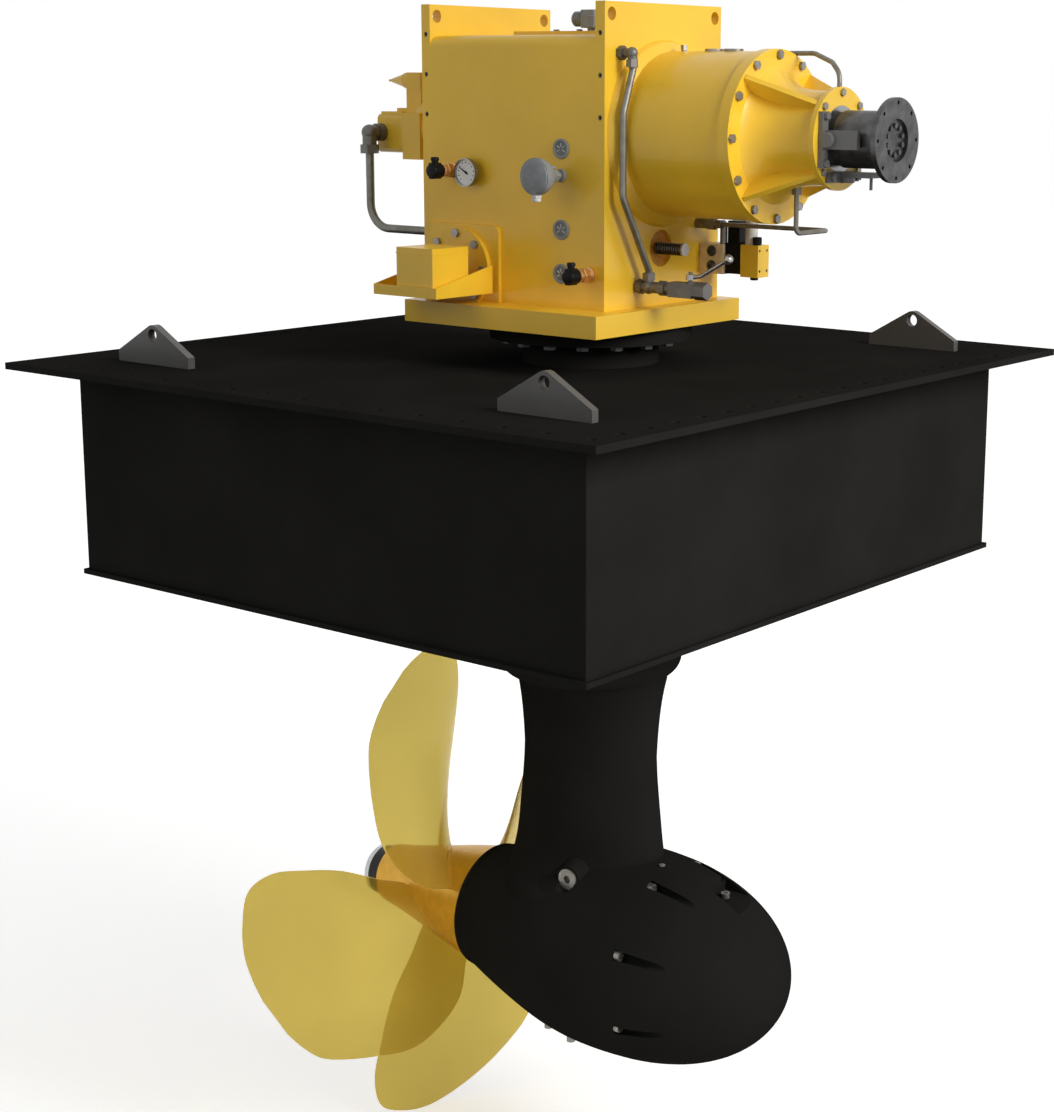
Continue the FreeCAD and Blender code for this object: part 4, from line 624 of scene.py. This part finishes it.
class THRUSTER_OT_gauges(bpy.types.Operator):
    """Make the sensor head, the dial and the sight windows"""
    bl_idname = "thruster.gauges"
    bl_label = "Gauges"

    def execute(self, context):
        settings = context.scene.thruster_fittings
        at, low = on_face(COLUMN_X, SENSOR_RISE), on_face(COLUMN_X, SENSOR_RISE, 0.088)
        sensor = Mould().lathe(SENSOR_NECK, at, FORWARD)
        sensor.lathe(SENSOR_NUT, at, FORWARD, 6)
        sensor.lathe(SENSOR_HEAD, at, FORWARD, 96)
        sensor.lathe(SENSOR_SPOUT, low, DOWN)
        for turn in (35, 215):
            sensor.lathe(SENSOR_SCREW, round_at(at, 0.0355, turn), FORWARD, 24)
        sensor.piece("sensor", FINISHES["cast_grey"], "unit", "lug_grey", ["sensor_head"])
        gland = Mould().lathe(GLAND_NUT, low, DOWN, 6).lathe(GLAND_LIP, low, DOWN)
        gland.piece("sensor_gland", FINISHES["sensor_white"], "unit", "white_plastic")

        dial = on_face(DIAL_X, DIAL_RISE, DIAL_STANDOFF)
        face = Mould().lathe(DIAL_DISC, dial, FORWARD, 96)
        face.piece("dial_face", FINISHES["dial_white"], "unit", "white_plastic")
        marks = Mould()
        for turn in np.linspace(225, -45, settings.marks):
            marks.lathe(DIAL_DOT, round_at(dial, 0.0235, turn), FORWARD, 20)
        marks.lathe(DIAL_BOSS, dial, FORWARD, 32)
        marks.piece("dial_marks", FINISHES["black_plug"], "unit", "black_plastic")

        rims, panes, spokes = Mould(), Mould(), Mould()
        for rise in SIGHT_RISES:
            at, pane = on_face(COLUMN_X, rise), on_face(COLUMN_X, rise, 0.0026)
            rims.lathe(SIGHT_RIM, at, FORWARD)
            panes.lathe(SIGHT_PANE, at, FORWARD)
            for turn in SPOKE_TURNS:
                line = np.array([round_at(pane, reach, turn) for reach in SPOKE_REACH])
                spokes.grid(tube(line, SPOKE_RADII, 10))
        rims.piece("sight_rims", FINISHES["cast_grey"], "unit", "steel", ["sight_glass_bodies"])
        panes.piece("sight_panes", FINISHES["sight_glass"], "unit", "clear_glass", ["sight_glasses"])
        spokes.piece("sight_spokes", FINISHES["sensor_white"], "unit", "steel", smooth=40)
        return {"FINISHED"}


UNION_NUT = [(-6, HUB), (-6, 12.8), (16, 12.8), (16, 17), (17.5, 18.4), (32, 18.4), (33.5, 17), (33.5, HUB)]
UNION_FOOT = [(0, HUB), (0, 16.5), (3, 17.5), (8, 17.5), (10, 14), (17, 14), (17, HUB)]
UNION_END = [(33, HUB), (33, 13.2), (38, 14), (43, 14), (44, 12.6), (46, 12.6), (47, 14), (50, 14), (50, HUB)]
PLUG_BODY = [(49, HUB), (49, 15), (51, 16.8), (60, 17), (78, 17), (82, 15.5), (84, 12), (84, HUB)]
PLUG_NECK = [(8, HUB), (8, 11), (17, 10.4), (19, 8.5), (24, 8.5), (25, 10.4), (30, 9.6), (32, 8), (32, HUB)]
PLUG_WEB = 0.0065, 0.0185, 0.052, 0.0835


class THRUSTER_OT_unions(bpy.types.Operator):
    """Make the brass unions and black elbow plugs of the front face"""
    bl_idname = "thruster.unions"
    bl_label = "Unions"

    def execute(self, context):
        brass, plugs = Mould(), Mould()
        half_x, half_z, near, far = PLUG_WEB
        for x, rise in UNION_SPOTS:
            at = on_face(x, rise)
            brass.lathe(UNION_NUT, at, FORWARD, 6).lathe(UNION_FOOT, at, FORWARD).lathe(UNION_END, at, FORWARD)
            plugs.lathe(PLUG_BODY, at, FORWARD)
            plugs.lathe(PLUG_NECK, on_face(x, rise, 0.068), UP)
            plugs.box(on_face(x - half_x, rise - half_z, far), on_face(x + half_x, rise + half_z, near))
        brass.piece("brass_unions", FINISHES["machined_brass"], "unit", "brass", ["oil_fittings"])
        plugs.piece("plug_elbows", FINISHES["black_plug"], "unit", "black_plastic", ["elbow_plugs"])
        return {"FINISHED"}


SET_SCREW = [(-20, HUB), (-20, 5.5), (-2.6, 5.5), (-1.8, 4.8), (-1.8, 3.1), (-6, 2.9), (-6, HUB)]
LID_BOLT = [(-1, HUB), (-1, 11), (1.2, 11), (1.2, 8), (6.5, 8), (7.5, 7), (7.5, HUB)]
CONNECTOR_FOOT = [(-1, HUB), (-1, 14), (3, 14), (4, 10), (12, 10), (12, HUB)]
CONNECTOR_RIB = ((24, 16), (24.5, 17.8), (28, 17.8), (28.5, 16))
CONNECTOR_RIBS = [(along + 6 * k, radius) for k in range(4) for along, radius in CONNECTOR_RIB]
CONNECTOR_NECK = [(20, HUB), (20, 16), *CONNECTOR_RIBS, (50, 14), (50, HUB)]
# Lower and upper corner from the connector's foot, and the chamfer
CONNECTOR_BOXES = (((-0.020, -0.018, 0.010), (0.022, 0.018, CONNECTOR_HEIGHT), 0.002),
                   ((-0.021, -0.019, 0.034), (0.023, 0.019, 0.039), 0.0006))


class THRUSTER_OT_screws(bpy.types.Operator):
    """Make the set screws in the side plates' edges, the lid's bolts and the connector on the lid"""
    bl_idname = "thruster.screws"
    bl_label = "Screws"

    def execute(self, context):
        screws = Mould()
        for x in PLATE_MIDDLES:
            for drop in SCREW_DROPS:
                for side in (-1, 1):
                    place = (x, side * -FRONT_Y, BASE_TOP + PLATE_HEIGHT - drop)
                    screws.lathe(SET_SCREW, place, (0, side, 0), 32)
        screws.piece("set_screws", FINISHES["dark_steel"], "unit", "dark_steel")
        bolts = Mould()
        for x in LID_BOLTS:
            bolts.lathe(LID_BOLT, (x, 0, LID_TOP), UP, 6)
        bolts.piece("lid_bolts", FINISHES["plated_steel"], "unit", "steel")
        foot = np.array((DRIVE_X, 0, LID_TOP))
        connector = Mould().lathe(CONNECTOR_FOOT, foot, UP, 6)
        for low, high, cut in CONNECTOR_BOXES:
            connector.box(foot + low, foot + high, cut)
        connector.lathe(CONNECTOR_NECK, foot + (0, 0, 0.031), (-1, 0, 0))
        connector.piece("lid_connector", FINISHES["cast_grey"], "unit", "lug_grey")
        return {"FINISHED"}


STEPS_PER_TURN = 40


class THRUSTER_OT_spring(bpy.types.Operator):
    """Wind the plunger's spring: centre + (length s, radius cos t, radius sin t) with s from 0 to 1"""
    bl_idname = "thruster.spring"
    bl_label = "Spring"

    def execute(self, context):
        settings = context.scene.thruster_fittings
        low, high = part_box("plunger_spring")
        wire = settings.wire / 1000
        radius = (high.z - low.z) / 2 - wire
        full = high.x - low.x
        turn = np.linspace(0, 2 * np.pi * settings.turns, STEPS_PER_TURN * settings.turns)
        share = turn / turn[-1]
        path = np.stack([low.x + wire + (full - 2 * wire) * share, (low.y + high.y) / 2 + radius * np.cos(turn),
                         (low.z + high.z) / 2 + radius * np.sin(turn)], axis=1)
        coil = Mould().grid(tube(path, wire, 12)).piece(
            "coil_spring", FINISHES["spring_wire"], "unit", "spring_steel", ["plunger_spring"], 60)
        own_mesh(coil)
        return {"FINISHED"}


VALVE_RECESS = 0.007
VALVE_PLUG = [(-2, HUB), (-2, 13), (2.4, 13), (3.4, 12), (3.4, 9.5), (6.4, 9.5), (6.9, 9), (6.9, 4.6),
              (2.5, 4.4), (2.5, HUB)]
DRAIN_PLUG = [(-2, HUB), (-2, 11), (6, 11), (8, 9), (8, HUB)]
TOP_PLUG = [(-2, HUB), (-2, 9), (2, 9), (2, 11), (17, 11), (19, 9.5), (19, HUB)]
SUNK_SCREW = [(-9, HUB), (-9, 3.3), (-1.4, 3.3), (-1.4, HUB)]


class THRUSTER_OT_valves(bpy.types.Operator):
    """Make the cream valve block with its plugs, and the manifold's plugs"""
    bl_idname = "thruster.valves"
    bl_label = "Valves"

    def execute(self, context):
        low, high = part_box("valve_block")
        body = Mould().box((low.x, low.y + VALVE_RECESS, low.z), (high.x, high.y, high.z), 0.0015)
        body.piece("valve_body", FINISHES["cream_block"], "unit", "lug_grey", ["valve_block"])
        plugs = Mould()
        for z in (low.z + 0.019, high.z - 0.017):
            plugs.lathe(VALVE_PLUG, (low.x + 0.037, low.y + VALVE_RECESS, z), FORWARD, 48)
        plugs.piece("valve_plugs", FINISHES["dark_steel"], "unit", "dark_steel")
        low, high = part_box("manifold")
        seals = Mould().lathe(DRAIN_PLUG, (low.x + 0.025, low.y + 0.023, low.z), DOWN, 6)
        seals.lathe(TOP_PLUG, (high.x - 0.012, low.y + 0.014, high.z), UP, 32)
        for y in (0.008, 0.038):
            for z in (0.015, 0.063):
                seals.lathe(SUNK_SCREW, (high.x, low.y + y, low.z + z), (1, 0, 0), 20)
        seals.piece("manifold_plugs", FINISHES["black_plug"], "unit", "black_plastic")
        return {"FINISHED"}


# Stage

FLOOR_REACH = 40.0
FLOOR_FADE = (1.5, 9.0, 0.55, 0.88)  # from and to these distances, from and to these levels
WHITE = (1, 1, 1, 1)
KEY_LAMP = ((6.6, -0.1, 3.0), (0.1, 0, -0.2), 3.0, 375)
SIDE_LAMPS = (("front_lamp", (-1.2, -6.0, 2.2), 42), ("back_lamp", (-4.0, 5.0, 2.0), 70))
SIDE_AIM, SIDE_SIZE = (0.1, 0, -0.4), 3.5
WARM = (1, 0.97, 0.92)
CAMERA_PLACE = (3.272, -3.904, 0.683)
CAMERA_YAW, CAMERA_PITCH, CAMERA_ROLL = (math.radians(a) for a in (127.16, -11.92, 0.457))
CAMERA_SHIFT = (-0.1106, -0.035)


def soft_lamp(name, place, aim, size, watts, colour=(1, 1, 1)):
    """Square area lamp at a place, facing a point."""
    lamp = bpy.data.lights.new(name, "AREA")
    lamp.shape = "SQUARE"
    lamp.size = size
    lamp.energy = watts
    lamp.color = colour
    stood = bpy.data.objects.new(name, lamp)
    bpy.context.scene.collection.objects.link(stood)
    stood.location = place
    stood.rotation_euler = (Vector(aim) - Vector(place)).to_track_quat("-Z", "Y").to_euler()
    return stood


class Wiring:
    """Short ways to fill an empty node tree."""

    def __init__(self, owner):
        owner.use_nodes = True
        self.tree = owner.node_tree
        self.tree.nodes.clear()

    def node(self, kind, operation=None, inputs=(), **values):
        """Add a node, join sockets to its first inputs in order, and set the named ones."""
        made = self.tree.nodes.new(kind)
        if operation:
            made.operation = operation
        for end, start in enumerate(inputs):
            self.tree.links.new(start, made.inputs[end])
        for name, value in values.items():
            made.inputs[name.replace("_", " ")].default_value = value
        return made

    def seen_directly(self):
        """1 for camera, mirror and see-through rays, 0 for the rays that light the object."""
        path = self.node("ShaderNodeLightPath")
        total = path.outputs["Is Camera Ray"]
        for kind in ("Is Glossy Ray", "Is Transmission Ray"):
            total = self.node("ShaderNodeMath", "MAXIMUM", (total, path.outputs[kind])).outputs[0]
        return total


def floor_material(tone):
    """Pale floor that takes shadows and, where it is seen, glows more the further it lies from the object."""
    ground = bpy.data.materials.new("floor_tone")
    wiring = Wiring(ground)
    place = wiring.node("ShaderNodeTexCoord").outputs["Object"]
    away = wiring.node("ShaderNodeVectorMath", "LENGTH", (place,)).outputs["Value"]
    fade = wiring.node("ShaderNodeMapRange", inputs=(away,), **dict(zip(RANGE_SOCKETS, FLOOR_FADE))).outputs[0]
    share = wiring.node("ShaderNodeMath", "MULTIPLY", (wiring.seen_directly(), fade)).outputs[0]
    glow = wiring.node("ShaderNodeEmission", Color=WHITE)
    wiring.tree.links.new(share, glow.inputs["Strength"])
    matt = wiring.node("ShaderNodeBsdfDiffuse", Color=(*tone, 1))
    both = wiring.node("ShaderNodeAddShader", inputs=(matt.outputs[0], glow.outputs[0]))
    wiring.node("ShaderNodeOutputMaterial", inputs=(both.outputs[0],))
    return ground


def studio_world(level):
    """White where it is seen, and level where it lights the object."""
    world = bpy.data.worlds.new("studio")
    wiring = Wiring(world)
    lighting = wiring.node("ShaderNodeBackground", Color=WHITE, Strength=level)
    seen = wiring.node("ShaderNodeBackground", Color=WHITE, Strength=1.0)
    ends = (wiring.seen_directly(), lighting.outputs[0], seen.outputs[0])
    mix = wiring.node("ShaderNodeMixShader", inputs=ends)
    wiring.node("ShaderNodeOutputWorld", inputs=(mix.outputs[0],))
    return world


class THRUSTER_OT_stage(bpy.types.Operator):
    """Set the pale floor, the soft lamps, the white surroundings and the camera"""
    bl_idname = "thruster.stage"
    bl_label = "Stage"

    def execute(self, context):
        settings = context.scene.thruster_stage
        scene = context.scene
        scene.view_settings.view_transform = "Standard"
        corners = np.array(((-1, -1, 0), (1, -1, 0), (1, 1, 0), (-1, 1, 0))) * FLOOR_REACH
        mesh = bpy.data.meshes.new("floor")
        mesh.from_pydata((corners + (0, 0, CAD_BOX[0][2])).tolist(), [], [(0, 1, 2, 3)])
        mesh.materials.append(floor_material(settings.floor_tone))
        floor = bpy.data.objects.new("floor", mesh)
        scene.collection.objects.link(floor)
        scene.world = studio_world(settings.surround)

        place, aim, size, watts = KEY_LAMP
        soft_lamp("key_lamp", place, aim, size, watts * settings.light, WARM)
        for name, place, watts in SIDE_LAMPS:
            soft_lamp(name, place, SIDE_AIM, SIDE_SIZE, watts * settings.light).visible_glossy = False

        eye = bpy.data.cameras.new("camera")
        eye.lens = settings.lens
        eye.sensor_width = 36.0
        eye.shift_x, eye.shift_y = CAMERA_SHIFT
        eye.clip_end = 200
        camera = bpy.data.objects.new("camera", eye)
        scene.collection.objects.link(camera)
        level = math.cos(CAMERA_PITCH)
        ahead = Vector((math.cos(CAMERA_YAW) * level, math.sin(CAMERA_YAW) * level, math.sin(CAMERA_PITCH)))
        turn = ahead.to_track_quat("-Z", "Y").to_matrix() @ Matrix.Rotation(CAMERA_ROLL, 3, "Z")
        camera.matrix_world = Matrix.Translation(CAMERA_PLACE) @ turn.to_4x4()
        scene.camera = camera
        return {"FINISHED"}


class THRUSTER_PT_panel(bpy.types.Panel):
    """Lists the thruster's settings and steps"""
    bl_label = "Stern thruster"
    bl_idname = "THRUSTER_PT_panel"
    bl_space_type = "VIEW_3D"
    bl_region_type = "UI"
    bl_category = "Thruster"

    def draw(self, context):
        for group in GROUPS:
            settings = getattr(context.scene, group)
            for name in settings.__annotations__:
                self.layout.prop(settings, name)
        for step in STEPS:
            self.layout.operator(step.bl_idname)


STEPS = (THRUSTER_OT_finishes, THRUSTER_OT_blades, THRUSTER_OT_collar, THRUSTER_OT_gauges,
         THRUSTER_OT_unions, THRUSTER_OT_screws, THRUSTER_OT_spring, THRUSTER_OT_valves, THRUSTER_OT_stage)
GROUPS = {"thruster_stage": StageSettings, "thruster_paint": PaintSettings, "thruster_leg": LegSettings,
          "thruster_propeller": PropellerSettings, "thruster_fittings": FittingSettings}


def register():
    for made in (*GROUPS.values(), *STEPS, THRUSTER_PT_panel):
        bpy.utils.register_class(made)
    for name, group in GROUPS.items():
        setattr(bpy.types.Scene, name, PointerProperty(type=group))


def unregister():
    for name in GROUPS:
        delattr(bpy.types.Scene, name)
    for made in (THRUSTER_PT_panel, *reversed(STEPS), *GROUPS.values()):
        bpy.utils.unregister_class(made)


def main():
    register()
    for step in STEPS:
        family, name = step.bl_idname.split(".")
        getattr(getattr(bpy.ops, family), name)()


if __name__ == "__main__":
    main()
